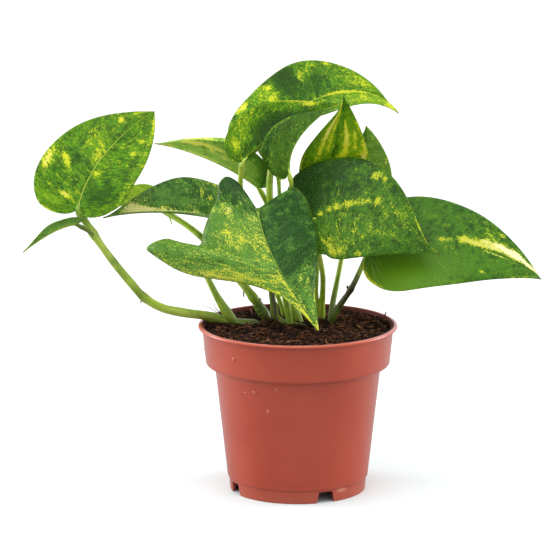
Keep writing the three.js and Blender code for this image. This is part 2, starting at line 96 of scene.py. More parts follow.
# rib: the rib's curve, from the junction with the petiole to the tip.
# faces: where the upper side looks, at the junction and at the tip.
# half, lobe: half width, and reach of the lobe behind the junction, left and right of the rib.
# fold, curl: degrees that each half rises at the rib, and turns on towards its margin.
# tip: how full each half stays towards the tip.
# edge, feet, reach: a leaf that grew out of true has the points of each margin in space, and for
#   each row the share of the rib at which it starts and of the margin at which it ends.
# look: the finish, where it isn't the slot's own.
# line: half width of the pale line along the rib. pale_back: how pale the under side is.
# patches: half, row share, share across, their spreads, and how much yellow, cream and light
#   green is painted there; light green below zero is painted shade, and on a few broad patches
#   it is painted light.
LEAVES = {
    "left_high": dict(
        slot="leaves_mottled",
        rib=[(-131, -8, 173), (-127, 0, 192), (-113, 12, 211), (-86, 26, 226)],
        faces=[(-0.3, -0.75, 0.55), (-0.3, -0.75, 0.55)],
        half=(34.5, 30.5), lobe=(5.5, 6), tip=(0.34, 0.85), fold=(8, 8), curl=(-10, -10),
        line=0.42, patches=[
            (0, 0.47, 0.87, 0.035, 0.12, 1.1, 0.5, 0), (0, 0.43, 0.85, 0.02, 0.1, 0.8, 0.4, 0),
            (0, 0.52, 0.57, 0.014, 0.1, 1, 0.2, 0), (0, 0.5, 0.47, 0.012, 0.06, 0.8, 0.2, 0),
            (0, 0.37, 0.26, 0.02, 0.1, 0.9, 0.5, 0), (0, 0.83, 0.6, 0.016, 0.2, 1, 0.35, 0),
            (0, 0.17, 0.95, 0.07, 0.07, 0.7, 0, 0.3), (0, 0.63, 0.1, 0.06, 0.1, 0.6, 0, 0.4),
            (0, 0.68, 0.35, 0.05, 0.2, 0.4, 0, 0.5), (0, 0.93, 0.8, 0.05, 0.2, 0.5, 0, 0.3),
            (0, 0.56, 0.3, 0.03, 0.2, -0.3, 0, -0.3), (0, 0.3, 0.6, 0.05, 0.3, 0.1, 0, 0.5),
            (1, 0.9, 0.95, 0.08, 0.1, 0.8, 0, 0.3), (1, 0.78, 0.65, 0.02, 0.1, 0.8, 0.2, 0),
            (1, 0.7, 0.6, 0.02, 0.1, 0.7, 0.1, 0), (1, 0.54, 0.1, 0.02, 0.08, 0.9, 0.2, 0),
            (1, 0.32, 0.88, 0.08, 0.07, 0.5, 0, 0.2), (1, 0.38, 0.35, 0.1, 0.35, -0.5, 0, -0.4),
            (1, 0.65, 0.9, 0.2, 0.08, 0.3, 0, 0.3),
        ],
    ),
    "left_folded": dict(
        slot="leaves_pale", look="cool",
        rib=[(-133, -18, 166.5), (-142, -20, 165.5), (-153, -22, 158), (-163, -22, 149.5)],
        faces=[(-0.1, 0.3, 0.9), (-0.6, 0.3, 0.6)],
        half=(5, 5), lobe=(7, 7), tip=(0.1, 0.1), fold=(46, 46), curl=(0, 0),
        line=0.5, pale_back=0.5, patches=[
            (0, 0.5, 0.5, 0.6, 0.9, -0.1, 0, 0.3), (1, 0.5, 0.5, 0.6, 0.9, 0, 0, 0.3),
            (0, 0.5, 0.98, 0.5, 0.06, 0.6, 0.2, 0.5),
        ],
    ),
    "left_middle": dict(
        slot="leaves_dark", look="cool",
        rib=[(-45, 22, 161), (-70, 18, 167.5), (-95, 13, 169), (-117, 12, 163.5)],
        faces=[(0.05, -0.28, 0.96), (-0.05, -0.28, 0.96)],
        half=(21, 30), lobe=(2, 14), fold=(28, 19), curl=(-6, 0),
        line=0.3, patches=[
            (1, 0.85, 0.35, 0.055, 0.45, 1.6, 1.3, 0), (1, 0.79, 0.12, 0.05, 0.15, 1.3, 1, 0),
            (1, 0.7, 0.08, 0.08, 0.07, 1, 0.5, 0), (1, 0.44, 0.6, 0.016, 0.13, 1, 0.2, 0),
            (1, 0.4, 0.48, 0.013, 0.1, 0.8, 0.1, 0), (1, 0.5, 0.14, 0.03, 0.12, 0.6, 0, 0),
            (1, 0.36, 0.94, 0.035, 0.07, 1, 0.3, 0), (1, 0.52, 0.6, 0.01, 0.06, 0.6, 0, 0),
            (1, 0.3, 0.4, 0.06, 0.25, 0.6, 0, 0.2), (1, 0.62, 0.55, 0.1, 0.4, -0.4, 0, 0.2),
            (1, 0.28, 0.7, 0.03, 0.2, 0.8, 0.1, 0), (1, 0.45, 0.5, 0.2, 0.6, -0.15, 0, -0.1),
            (1, 0.5, 0.04, 0.008, 0.03, 1, 1.2, 0), (1, 0.6, 0.0, 0.3, 0.03, 1.6, 1.5, 0),
        ],
    ),
    "left_behind": dict(
        slot="leaves_mottled",
        rib=[(-84, 50, 163), (-93, 50, 168), (-109, 50, 170), (-124, 50, 160)],
        faces=[(0, -0.5, 0.85), (0, -0.5, 0.85)],
        half=(9, 14), lobe=(2, 4), fold=(10, 10), curl=(-10, -10),
        line=0.3, patches=[
            (0, 0.5, 0.5, 0.8, 0.9, 0.35, 0.2, 0.9), (1, 0.5, 0.5, 0.8, 0.9, 0.35, 0.2, 0.9),
        ],
    ),
    "front": dict(
        slot="leaves_mottled", look="cool",
        rib=[(-24, -14, 173), (-20, -28, 152), (-6, -40, 132), (12, -46, 107)],
        faces=[(-0.25, -0.85, 0.35), (-0.25, -0.85, 0.35)],
        edge=[
            [(-24, -14, 173), (-19, -14, 177), (-11, -12, 182), (-2, -9, 186), (4, -9, 180),
             (8, -11, 171), (11, -15, 161), (12, -20, 151), (11, -29, 135), (10, -35, 126),
             (11, -42, 117), (12, -46, 107)],
            [(-24, -14, 173), (-27, -11, 177), (-32, -6, 183), (-37, -2, 189), (-43, 0, 191),
             (-47, -2, 187), (-48, -4, 179), (-52, -6, 170), (-56, -6, 160), (-58.5, -5.5, 150.5),
             (-62, -4, 149.7), (-67, -2, 151.3), (-72, -1, 151.5), (-77, 0, 153.6),
             (-82, 1, 152.6), (-89, 3, 149), (-91, 4, 146), (-87, 2, 143), (-80, -1, 139),
             (-72, -4, 135), (-61, -8, 132), (-49, -13, 132), (-35, -20, 132), (-21, -29, 131),
             (-8, -38, 125), (3, -43, 117), (12, -46, 107)],
        ],
        feet=[(0, 0), (0.12, 0), (0.23, 0.18), (0.28, 0.3), (0.32, 0.44), (0.42, 0.5),
              (0.5, 0.53), (0.62, 0.6), (1, 1)],
        reach=[
            [(0, 0), (0.12, 0.22), (0.23, 0.33), (0.32, 0.42), (0.42, 0.48), (0.62, 0.58), (1, 1)],
            [(0, 0), (1, 1)],
        ],
        # painted light: the broad light green at row share 0.55 on half 1 brightens that half
        line=0.42, patches=[
            (1, 0.55, 0.5, 0.35, 0.9, 0.4, 0.1, 0.4), (1, 0.08, 0.75, 0.1, 0.5, -0.9, 0, -1),
            (1, 0.47, 0.6, 0.05, 0.4, -0.3, 0, -0.2), (1, 0.25, 0.5, 0.06, 0.4, 0.2, 0, 0.4),
            (1, 0.03, 0.99, 0.05, 0.04, 1.3, 0.2, 0), (1, 0.2, 0.7, 0.016, 0.08, 0.55, 0.6, 0.5),
            (1, 0.26, 0.15, 0.03, 0.12, 0.45, 0, 0), (1, 0.18, 0.12, 0.03, 0.12, 0.2, 0.4, 0.4),
            (1, 0.62, 0.65, 0.05, 0.2, 0.3, 0.1, 0.1), (1, 0.55, 0.05, 0.06, 0.06, 0.45, 0.1, 0),
            (1, 0.7, 0.96, 0.12, 0.045, 1.2, 0.4, 0), (1, 0.66, 0.01, 0.16, 0.018, 1.1, 0.1, 0),
            (1, 0.73, 0.3, 0.02, 0.1, 0.8, 0.1, 0), (1, 0.8, 0.3, 0.03, 0.3, 0.5, 0, 0.2),
            (1, 0.93, 0.4, 0.07, 0.8, 1.0, 0.1, 0), (1, 0.86, 0.08, 0.05, 0.1, 0.8, 0, 0),
            (1, 0.6, 0.35, 0.03, 0.2, 0.4, 0.1, 0.2), (1, 0.58, 0.8, 0.03, 0.15, 0.4, 0.2, 0.2),
            (0, 0.25, 0.5, 0.25, 0.8, -0.8, 0, -0.4), (0, 0.5, 0.5, 0.1, 0.8, -0.4, 0, -0.4),
            (0, 0.66, 0.42, 0.015, 0.12, 0.7, 0.1, 0), (0, 0.72, 0.5, 0.015, 0.12, 0.7, 0.1, 0),
            (0, 0.82, 0.1, 0.1, 0.05, 0.8, 0, 0), (0, 0.88, 0.5, 0.03, 0.12, 0.5, 0, 0),
            (0, 0.84, 0.94, 0.06, 0.06, 1, 0.1, 0), (0, 0.98, 0.5, 0.03, 0.9, 1.3, 0.1, 0),
        ],
    ),
    "back_left": dict(
        slot="leaves_pale",
        rib=[(-23, 22, 180.5), (-36, 21, 191.5), (-62, 19, 204.5), (-86, 20, 207.5)],
        faces=[(0.2, 0.2, 0.9), (0, 0.2, 0.95)],
        half=(20, 24.5), lobe=(1, 6), fold=(50, 50), curl=(-10, -10),
        line=0.3, pale_back=0.15, patches=[
            (0, 0.79, 0.88, 0.04, 0.12, 1.4, 0.4, 0.2), (0, 0.73, 0.76, 0.04, 0.12, 1.3, 0.4, 0.3),
            (0, 0.67, 0.66, 0.04, 0.12, 1.2, 0.3, 0.3), (0, 0.61, 0.56, 0.035, 0.1, 1, 0.2, 0.3),
            (0, 0.55, 0.52, 0.025, 0.08, 0.5, 0, 0.4), (0, 0.66, 0.42, 0.03, 0.08, 0.6, 0.1, 0.4),
            (0, 0.58, 0.3, 0.03, 0.08, 0.6, 0.2, 0.5), (0, 0.5, 0.22, 0.03, 0.08, 0.4, 0.1, 0.6),
            (0, 0.55, 0.3, 0.2, 0.35, 0, 0, 0.7), (0, 0.7, 0.55, 0.04, 0.08, -0.4, 0, -0.7),
            (0, 0.62, 0.47, 0.04, 0.07, -0.4, 0, -0.7), (0, 0.93, 0.5, 0.05, 0.5, 0.6, 0, 0.3),
            (0, 0.42, 0.9, 0.07, 0.1, -0.4, 0, -0.6), (0, 0.8, 0.02, 0.3, 0.05, 0.6, 0, 0.5),
            (0, 0.25, 0.6, 0.1, 0.9, -0.7, 0, -1.2), (0, 0.1, 0.6, 0.1, 0.9, -0.7, 0, -1.2),
            (1, 0.72, 0.8, 0.1, 0.3, 1.2, 0.3, 0.3), (1, 0.5, 0.8, 0.1, 0.3, 0.2, 0, -0.5),
            (1, 0.12, 0.6, 0.2, 0.9, -0.6, 0, -1),
        ],
    ),
    "top": dict(
        slot="leaves_mottled",
        rib=[(-17, 42, 215), (6, 43, 233), (45, 48, 245), (61, 42, 222)],
        faces=[(0, -0.34, 0.94), (0.15, -0.7, 0.7)],
        half=(33.5, 26), lobe=(27, 14), tip=(-0.2, 0.4), fold=(10, 18), curl=(0, 0),
        line=0.35, patches=[
            (0, 0.33, 0.9, 0.03, 0.09, 0.9, 0.5, 0), (0, 0.45, 0.75, 0.02, 0.12, 0.75, 0.1, 0),
            (0, 0.42, 0.5, 0.03, 0.3, 0.5, 0, 0.4), (0, 0.515, 0.7, 0.04, 0.5, -1.3, 0, -1.1),
            (0, 0.565, 0.6, 0.014, 0.16, 1, 0.3, 0), (0, 0.6, 0.72, 0.02, 0.08, 0.6, 0.1, 0.2),
            (0, 0.67, 0.92, 0.02, 0.06, 0.9, 0.1, 0), (0, 0.8, 0.6, 0.07, 0.4, 0.45, 0.1, 0.5),
            (0, 0.74, 0.02, 0.14, 0.04, 1.1, 0, 0), (0, 0.62, 0.3, 0.05, 0.25, -0.6, 0, -0.5),
            (1, 0.8, 0.5, 0.12, 0.6, 0.35, 0, 0.5), (1, 0.95, 0.5, 0.04, 0.6, 0.8, 0, 0.3),
            (1, 0.78, 0.02, 0.1, 0.05, 0.8, 0, 0),
        ],
    ),
    "top_front": dict(
        slot="leaves_mottled",
        rib=[(-33, -1, 200.5), (-22, 1, 212.5), (-5, 9, 223), (28, 18, 233)],
        faces=[(-0.2, -0.8, 0.5), (-0.1, -0.8, 0.5)],
        half=(21, 11), lobe=(5, 3), fold=(10, -105), curl=(10, 0),
        # painted shade: the dark patch at row share 0.6 stands for the shade in the hollow of its fold
        line=0.3, patches=[
            (0, 0.79, 0.82, 0.045, 0.14, 1.2, 0.3, 0), (0, 0.68, 0.98, 0.12, 0.05, 0.9, 0.2, 0),
            (0, 0.35, 0.6, 0.1, 0.4, 0.3, 0, 0.3), (0, 0.6, 0.25, 0.16, 0.3, -0.9, 0, -1.1),
            (0, 0.3, 0.4, 0.03, 0.2, 0.6, 0, 0.3), (0, 0.93, 0.5, 0.05, 0.5, -0.2, 0, 0.3),
        ],
    ),
    "centre_fold": dict(
        slot="leaves_dark",
        rib=[(-6, -12, 195.5), (-8, -14, 209.5), (2, -8, 223), (21, 8, 232)],
        faces=[(-0.7, 0.5, 0.4), (-0.6, 0.5, 0.5)],
        half=(19, 13), lobe=(6, 2), tip=(0, 0.03), fold=(90, 40), curl=(0, 0),
        line=0.3, pale_back=0.3, patches=[
            (0, 0.5, 0.5, 0.5, 0.8, -0.2, 0, -0.3), (0, 0.5, 0.97, 0.4, 0.03, 0.9, 0.1, 0.3),
            (0, 0.35, 0.5, 0.02, 0.25, 0.7, 0.3, 0), (0, 0.2, 0.4, 0.1, 0.3, 0.3, 0, 0.6),
            (0, 0.6, 0.6, 0.02, 0.2, 0.5, 0.1, 0.2), (0, 0.05, 0.9, 0.1, 0.1, 0.5, 0, 0.5),
        ],
    ),
    "upper_right": dict(
        slot="leaves_mottled",
        rib=[(17, 24, 177), (21, 20, 197), (25, 12, 220), (27, 6, 239)],
        faces=[(0, -0.97, 0.1), (0, -0.97, 0.1)],
        half=(19, 23), lobe=(8, 8), tip=(-0.1, 0.4), fold=(12, 12), curl=(-10, -10),
        line=0.0, patches=[
            (0, 0.97, 0.5, 0.05, 0.425, 1.07, 0.12, 0), (0, 0.88, 0.55, 0.05, 0.102, 0.97, 0.36, 0),
            (0, 0.82, 0.62, 0.05, 0.085, 1.16, 0.66, 0), (0, 0.74, 0.6, 0.05, 0.102, 1.16, 0.78, 0),
            (0, 0.66, 0.55, 0.05, 0.085, 0.97, 0.36, 0), (0, 0.58, 0.5, 0.05, 0.068, 0.78, 0.12, 0),
            (0, 0.8, 0.3, 0.06, 0.068, 0.78, 0, 0.3), (0, 0.9, 0.2, 0.06, 0.085, 0.88, 0, 0),
            (0, 0.68, 0.25, 0.06, 0.085, 0.68, 0, 0.3), (0, 0.44, 0.96, 0.05, 0.051, 1.07, 0.12, 0),
            (0, 0.7, 0.02, 0.25, 0.025, -0.6, 0, -0.8), (0, 0.6, 0.88, 0.1, 0.12, -0.3, 0, 0),
            (0, 0.75, 0.5, 0.3, 0.5, 0.15, 0, 0.8),
            (1, 0.8, 0.3, 0.05, 0.051, 0.97, 0.36, 0), (1, 0.74, 0.35, 0.05, 0.068, 1.16, 0.48, 0),
            (1, 0.68, 0.33, 0.04, 0.076, 1.07, 0.24, 0), (1, 0.62, 0.28, 0.03, 0.085, 0.97, 0.12, 0),
            (1, 0.57, 0.12, 0.03, 0.085, 0.97, 0.12, 0), (1, 0.73, 0.68, 0.03, 0.051, 1.07, 0.36, 0),
            (1, 0.67, 0.62, 0.03, 0.051, 0.97, 0.24, 0), (1, 0.77, 0.92, 0.04, 0.051, 0.88, 0.12, 0),
            (1, 0.65, 0.93, 0.05, 0.06, 1.16, 0.36, 0), (1, 0.57, 0.83, 0.04, 0.102, 1.36, 0.72, 0),
            (1, 0.85, 0.2, 0.08, 0.12, -0.4, 0, -0.3), (1, 0.66, 0.06, 0.08, 0.05, -0.5, 0, -0.5),
            (1, 0.95, 0.6, 0.05, 0.6, -0.3, 0, -0.3), (1, 0.65, 0.5, 0.3, 0.8, 0.15, 0, 0.8),
        ],
    ),
    "back_small": dict(
        slot="leaves_mottled",
        rib=[(-12, 34, 194), (-16, 48, 202), (-20, 64, 202), (-23, 76, 190)],
        faces=[(0, 0, 1), (0, 0.2, 1)],
        half=(10, 10), lobe=(4, 4), fold=(12, 12), curl=(-10, -10),
    ),
    "right_behind": dict(
        slot="leaves_mottled", look="cool",
        rib=[(32, 36, 173), (38, 35, 190), (43, 31, 205), (41, 28, 217)],
        faces=[(0, -0.95, 0.2), (0, -0.95, 0.2)],
        half=(18, 21.5), lobe=(8, 8), tip=(0.1, 0.3), fold=(8, 8), curl=(-10, -10),
        # painted light: the broad light green over half 1 brightens a leaf that lies in shade
        line=0.2, patches=[
            (1, 0.68, 0.88, 0.014, 0.06, 1.2, 0.7, 0), (1, 0.7, 0.5, 0.4, 0.8, 0.1, 0, 1.1),
            (1, 0.6, 0.7, 0.02, 0.1, 0.8, 0.2, 0), (1, 0.8, 0.6, 0.03, 0.3, -0.3, 0, -0.6),
        ],
    ),
    "right_centre": dict(
        slot="leaves_dark",
        rib=[(8, -8, 166), (26, -13, 178), (56, -20, 172), (84, -26, 149)],
        faces=[(-0.15, -0.82, 0.55), (0, -0.78, 0.62)],
        half=(37.5, 29.5), lobe=(14, 10), tip=(-0.2, 0.45), fold=(0, 0), curl=(-10, -10),
        line=0.0, patches=[
            (0, 0.37, 0.03, 0.03, 0.04, 0.9, 0, 0), (0, 0.42, 0.05, 0.03, 0.05, 0.8, 0, 0),
            (0, 0.47, 0.07, 0.03, 0.05, 0.9, 0, 0), (0, 0.52, 0.12, 0.03, 0.05, 1, 0.1, 0),
            (0, 0.56, 0.17, 0.025, 0.06, 0.8, 0, 0), (0, 0.6, 0.24, 0.02, 0.07, 0.8, 0, 0),
            (0, 0.64, 0.33, 0.016, 0.1, 0.9, 0, 0), (0, 0.45, 0.3, 0.02, 0.2, 0.45, 0, 0.1),
            (0, 0.57, 0.76, 0.012, 0.1, 0.8, 0, 0), (0, 0.6, 0.84, 0.012, 0.09, 0.9, 0, 0),
            (0, 0.63, 0.72, 0.01, 0.12, 0.5, 0, 0.1), (0, 0.5, 0.5, 0.012, 0.15, 0.45, 0, 0.1),
            (0, 0.82, 0.93, 0.04, 0.07, 0.6, 0, 0.2), (0, 0.92, 0.95, 0.06, 0.12, 1.1, 0.1, 0),
            (0, 0.97, 0.6, 0.04, 0.6, 0.9, 0.1, 0), (0, 0.3, 0.6, 0.16, 0.6, -0.8, 0, -0.8),
            (0, 0.75, 0.4, 0.08, 0.4, 0.3, 0, 0.2), (0, 0.68, 0.75, 0.04, 0.2, -0.3, 0, 0),
            (1, 0.36, 0.68, 0.05, 0.2, 0.9, 0.2, 0), (1, 0.44, 0.8, 0.04, 0.12, 0.9, 0.1, 0),
            (1, 0.56, 0.9, 0.04, 0.07, 0.6, 0, 0), (1, 0.32, 0.5, 0.02, 0.12, 0.6, 0, 0),
            (1, 0.6, 0.35, 0.2, 0.35, 0.25, 0, 0.2), (1, 0.8, 0.7, 0.1, 0.3, -0.3, 0, 0),
        ],
    ),
    "right_low": dict(
        slot="leaves_dark",
        rib=[(43, 2, 145), (70, -6, 160), (115, -10, 154), (145.5, -8, 130)],
        faces=[(0.1, -0.65, 0.75), (0.1, -0.65, 0.75)],
        half=(34.5, 36), lobe=(13, 8), tip=(0.3, 0.42), fold=(4, 4), curl=(-12, -12),
        line=0.0, patches=[
            (0, 0.63, 0.05, 0.035, 0.05, 0.9, 0.1, 0.2), (0, 0.69, 0.12, 0.03, 0.07, 0.9, 0.2, 0.2),
            (0, 0.74, 0.1, 0.03, 0.07, 1, 0.3, 0), (0, 0.76, 0.28, 0.02, 0.08, 0.9, 0.3, 0),
            (0, 0.8, 0.15, 0.03, 0.08, 0.9, 0.3, 0), (0, 0.82, 0.36, 0.03, 0.1, 1.2, 0.8, 0),
            (0, 0.87, 0.25, 0.03, 0.1, 1, 0.6, 0), (0, 0.88, 0.5, 0.03, 0.15, 1.3, 1, 0),
            (0, 0.93, 0.45, 0.03, 0.2, 1.2, 0.8, 0), (0, 0.96, 0.7, 0.03, 0.2, 1.2, 0.9, 0),
            (0, 0.79, 0.26, 0.05, 0.2, 0.5, 0.2, 0.2), (0, 0.87, 0.42, 0.05, 0.25, 0.6, 0.4, 0),
            (0, 0.71, 0.2, 0.04, 0.12, 0.5, 0.1, 0.3), (0, 0.76, 0.5, 0.03, 0.12, 0.5, 0.1, 0.2),
            (0, 0.79, 0.82, 0.015, 0.08, 0.9, 0.3, 0), (0, 0.735, 0.7, 0.008, 0.05, 1, 0.5, 0),
            (0, 0.5, 0.62, 0.007, 0.06, 0.8, 0, 0), (0, 0.53, 0.5, 0.02, 0.08, 0.3, 0, 0.4),
            (0, 0.45, 0.6, 0.25, 0.6, -0.25, 0, 0.2), (0, 0.9, 0.02, 0.08, 0.05, -0.8, 0, 0.2),
            (1, 0.82, 0.03, 0.05, 0.04, 1, 0.5, 0), (1, 0.74, 0.75, 0.012, 0.05, 1, 0.2, 0),
            (1, 0.13, 0.95, 0.1, 0.09, 1.3, 0.1, 0), (1, 0.33, 0.6, 0.25, 0.7, -0.2, 0, 1),
            (1, 0.9, 0.9, 0.06, 0.1, 0.5, 0, 0.2), (1, 0.35, 0.98, 0.2, 0.04, 0.4, 0, 0.3),
            (1, 0.7, 0.5, 0.2, 0.5, -0.25, 0, 0.25), (1, 0.3, 0.05, 0.1, 0.1, -0.3, 0, -0.5),
            (1, 0.14, 0.8, 0.1, 0.3, 0.2, 0, 0.8),
        ],
    ),
}


# ---------------------------------------------------------------- paths
def unit(a):
    return a / np.maximum(np.linalg.norm(a, axis=-1, keepdims=True), 1e-12)


def bezier(control, t):
    """Points of a cubic curve, and its direction there."""
    p = np.asarray(control, float)
    t = np.asarray(t, float)[..., None]
    q = 1 - t
    point = q**3 * p[0] + 3 * q * q * t * p[1] + 3 * q * t * t * p[2] + t**3 * p[3]
    way = q * q * (p[1] - p[0]) + 2 * q * t * (p[2] - p[1]) + t * t * (p[3] - p[2])
    return point, way


def smooth_path(points, steps=24):
    """Close points on the even curve that runs through all the given ones."""
    p = np.asarray(points, float)
    p = np.vstack([2 * p[0] - p[1], p, 2 * p[-1] - p[-2]])
    w = np.linspace(0, 1, steps, endpoint=False)[:, None]
    path = []
    for a, b, c, d in zip(p, p[1:], p[2:], p[3:]):
        d0, d1, d2 = (np.linalg.norm(n - m) ** 0.5 for m, n in ((a, b), (b, c), (c, d)))
        leave = ((b - a) / d0 - (c - a) / (d0 + d1) + (c - b) / d1) * d1
        arrive = ((c - b) / d1 - (d - b) / (d1 + d2) + (d - c) / d2) * d1
        path.append(
            (2 * w**3 - 3 * w**2 + 1) * b + (w**3 - 2 * w**2 + w) * leave
            + (3 * w**2 - 2 * w**3) * c + (w**3 - w**2) * arrive
        )
    path.append(p[-2:-1])
    return np.vstack(path)


def by_length(path, shares):
    """Points at shares of the length of a path of close points."""
    steps = np.linalg.norm(np.diff(path, axis=0), axis=1)
    reach = np.concatenate([[0], np.cumsum(steps)])
    at = np.asarray(shares) * reach[-1]
    return np.stack([np.interp(at, reach, path[:, k]) for k in range(path.shape[1])], -1)


class Rib:
    """A leaf's rib, measured by its own length."""

    def __init__(self, leaf):
        self.control = leaf["rib"]
        self.faces = np.asarray(leaf["faces"], float)
        self.t = np.linspace(0, 1, 401)
        points, _ = bezier(self.control, self.t)
        steps = np.linalg.norm(np.diff(points, axis=0), axis=1)
        self.reach = np.concatenate([[0], np.cumsum(steps)])
        self.length = self.reach[-1]

    def at(self, share):
        point, way = bezier(self.control, np.interp(share * self.length, self.reach, self.t))
        ahead = unit(way)
        share = np.asarray(share)[..., None]
        up = self.faces[0] * (1 - share) + self.faces[1] * share
        up = unit(up - ahead * np.sum(up * ahead, -1, keepdims=True))
        return point, ahead, up

    def pressed(self, place):
        """Where points fall when the leaf is pressed flat on its own mean plane."""
        ahead = unit(np.subtract(self.control[3], self.control[0]))
        left = unit(np.cross(self.faces.mean(0), ahead))
        span = place - np.array(self.control[0], float)
        return np.stack([span @ ahead, span @ left], -1)


# ---------------------------------------------------------------- meshes
def new_mesh(name, points, faces):
    """A mesh from points in millimetres about the pot's axis."""
    mesh = bpy.data.meshes.new(name)
    mesh.from_pydata((np.asarray(points) * MM + AXIS).tolist(), [], faces)
    mesh.update()
    return mesh


def smooth(mesh):
    mesh.polygons.foreach_set("use_smooth", [True] * len(mesh.polygons))
    return mesh


def point_layer(mesh, label, values):
    """An attribute of the points, with a number or a vector for each."""
    kind, field = ("FLOAT", "value") if values.ndim == 1 else ("FLOAT_VECTOR", "vector")
    layer = mesh.attributes.new(label, kind, "POINT")
    layer.data.foreach_set(field, values.astype(np.float32).ravel())


def uv_layer(mesh, label, values):
    layer = mesh.uv_layers.new(name=label)
    layer.data.foreach_set("uv", values.astype(np.float32).ravel())


# ---------------------------------------------------------------- leaf blade
def margin_of(leaf, side, length, shares):
    """Flat points of one half's margin, from the junction, round the lobe, to the tip."""
    half = leaf["half"][side]
    lobe = leaf["lobe"][side]
    full = leaf.get("tip", (0.1, 0.1))[side]
    widest = 0.25 * length
    t = np.linspace(0, 1, 300)
    round_lobe, _ = bezier(
        [(0, 0), (-1.5 * lobe, 0.1 * half), (-1.1 * lobe, half), (widest, half)], t
    )
    to_tip, _ = bezier(
        [(widest, half), (widest + 0.38 * (length - widest), half), (0.8 * length, full * half),
         (length, 0)], t,
    )
    return by_length(np.vstack([round_lobe, to_tip[1:]]), shares)


def shaped_half(leaf, side, rib, s, v):
    """A straight-grown half: rows curved on the flat leaf, folded and curled about the rib."""
    end = margin_of(leaf, side, rib.length, s[:, 0])[:, None, :]
    turn = math.radians(leaf["curl"][side]) / leaf["half"][side]
    start = math.radians(leaf["fold"][side])
    foot = rib.length * (np.maximum(0, s - FANNED) / (1 - FANNED)) ** CROWD
    bow = 2 * v * (1 - v)
    x = foot + (end[..., 0] - foot) * (0.3 * bow + v * v)
    d = end[..., 1] * (0.62 * bow + v * v)
    if abs(turn) > 1e-6:
        flat = (np.sin(start + turn * d) - math.sin(start)) / turn
        rise = (math.cos(start) - np.cos(start + turn * d)) / turn
    else:
        flat = d * math.cos(start)
        rise = d * math.sin(start)
    point, ahead, up = rib.at(np.clip(x / rib.length, 0, 1))
    left = np.cross(up, ahead)
    way = 1 if side == 0 else -1
    place = point + ahead * np.minimum(x, 0)[..., None]
    place = place + left * (way * flat)[..., None] + up * rise[..., None]
    return place, x, d


def free_half(leaf, side, rib, s, v):
    """A half out of true: rows swell up from straight lines between the rib and the margin."""
    edge = by_length(smooth_path(leaf["edge"][side]), np.interp(s[:, 0], *zip(*leaf["reach"][side])))
    t = np.interp(s, *zip(*leaf["feet"]))
    foot, ahead, up = rib.at(t)
    span = edge[:, None, :] - foot
    width = np.linalg.norm(span, axis=-1, keepdims=True)
    place = foot + span * v[..., None] + up * (SWELL * 4 * v * (1 - v))[..., None] * width
    d = v * width[..., 0]
    return place, rib.length * t + 0.7 * d, d


def leaf_relief(s, v, x, d, rib_length, seed, quilting):
    """How far the upper side stands out: rib groove, quilting between veins, a wavy margin."""
    wander = 0.25 * np.sin(5.1 * s + seed) + 0.12 * np.sin(17 * s + 2.3 * seed)
    vein = 0.5 + 0.5 * np.cos(2 * math.pi * (SIDE_VEINS * s + wander))
    across = np.clip(5 * v, 0, 1) * np.clip(3.2 * (1 - v), 0, 1)
    taper = np.clip(1 - x / rib_length, 0.1, 1)
    groove = -RIB_GROOVE * taper * np.exp(-((d / 1.3) ** 2))
    quilt = quilting * across * (QUILT_RISE - QUILT_DIP * vein**3)
    heave = HEAVE * np.sin(0.11 * x + seed) * np.sin(0.13 * d + 1.7 * seed)
    heave = heave * np.clip(4 * v, 0, 1)
    wave = WAVE * v**3 * np.sin(2 * math.pi * (2.6 * s + 0.37 * seed)) * np.sin(math.pi * s)
    return groove + quilt, heave + wave


def painted(patches, side, s, v):
    """The colour painted at a point from the listed patches: yellow, cream and light green, which also
    paints light and shade.
    """
    paint = np.zeros(s.shape + (3,))
    for half, row, over, row_spread, over_spread, *amounts in patches:
        if half == side:
            near = np.exp(-((s - row) / row_spread) ** 2 - ((v - over) / over_spread) ** 2)
            paint = paint + near[..., None] * np.asarray(amounts)
    return paint


def leaf_grid(leaf, seed):
    """The blade's middle surface: every corner's place and what its material needs."""
    rib = Rib(leaf)
    free = "edge" in leaf
    columns = (np.arange(LEAF_COLUMNS + 1) / LEAF_COLUMNS) ** 1.35
    s, v = np.meshgrid(np.linspace(0, 1, LEAF_ROWS + 1), columns, indexing="ij")
    halves = []
    for side in (0, 1):
        place, x, d = (free_half if free else shaped_half)(leaf, side, rib, s, v)
        ribbed, heaved = leaf_relief(
            s, v, x, d, rib.length, seed + 2.1 * side, FREE_QUILTING if free else 1.0,
        )
        halves.append(dict(
            place=place, x=x, d=d, s=s, v=v, ribbed=ribbed, heaved=heaved,
            flat=rib.pressed(place) if free else np.stack([x, d if side == 0 else -d], -1),
            paint=painted(leaf.get("patches", ()), side, s, v),
        ))
    grid = {}
    for key, value in halves[0].items():
        grid[key] = np.concatenate([half[key].reshape((-1,) + value.shape[2:]) for half in halves])
    return grid, rib


def blade_faces(index, corner):
    """Faces of the middle surface: the points and the grid's corners that each one joins."""
    faces = []
    corners = []
    for side in (0, 1):
        quads = [
            np.stack([g[:-1, :-1], g[:-1, 1:], g[1:, 1:], g[1:, :-1]], -1).reshape(-1, 4)
            for g in (index[side], corner[side])
        ]
        for quad, source in zip(*quads):
            keep = [k for k in range(4) if quad[k] != quad[k - 1]]
            if len(set(quad[keep])) < 3:
                continue
            if side == 0:
                keep = keep[::-1]
            faces.append([int(quad[k]) for k in keep])
            corners.append([int(source[k]) for k in keep])
    return faces, corners


def point_normals(points, faces):
    normal = np.zeros_like(points)
    for face in faces:
        p = points[face]
        normal[face] += np.cross(p[2] - p[0], p[-1] - p[1])
    return unit(normal)


def open_edges(faces):
    """The edges that only one face has."""
    edges = dict.fromkeys(edge for face in faces for edge in zip(face, face[1:] + face[:1]))
    return [(a, b) for a, b in edges if (b, a) not in edges]


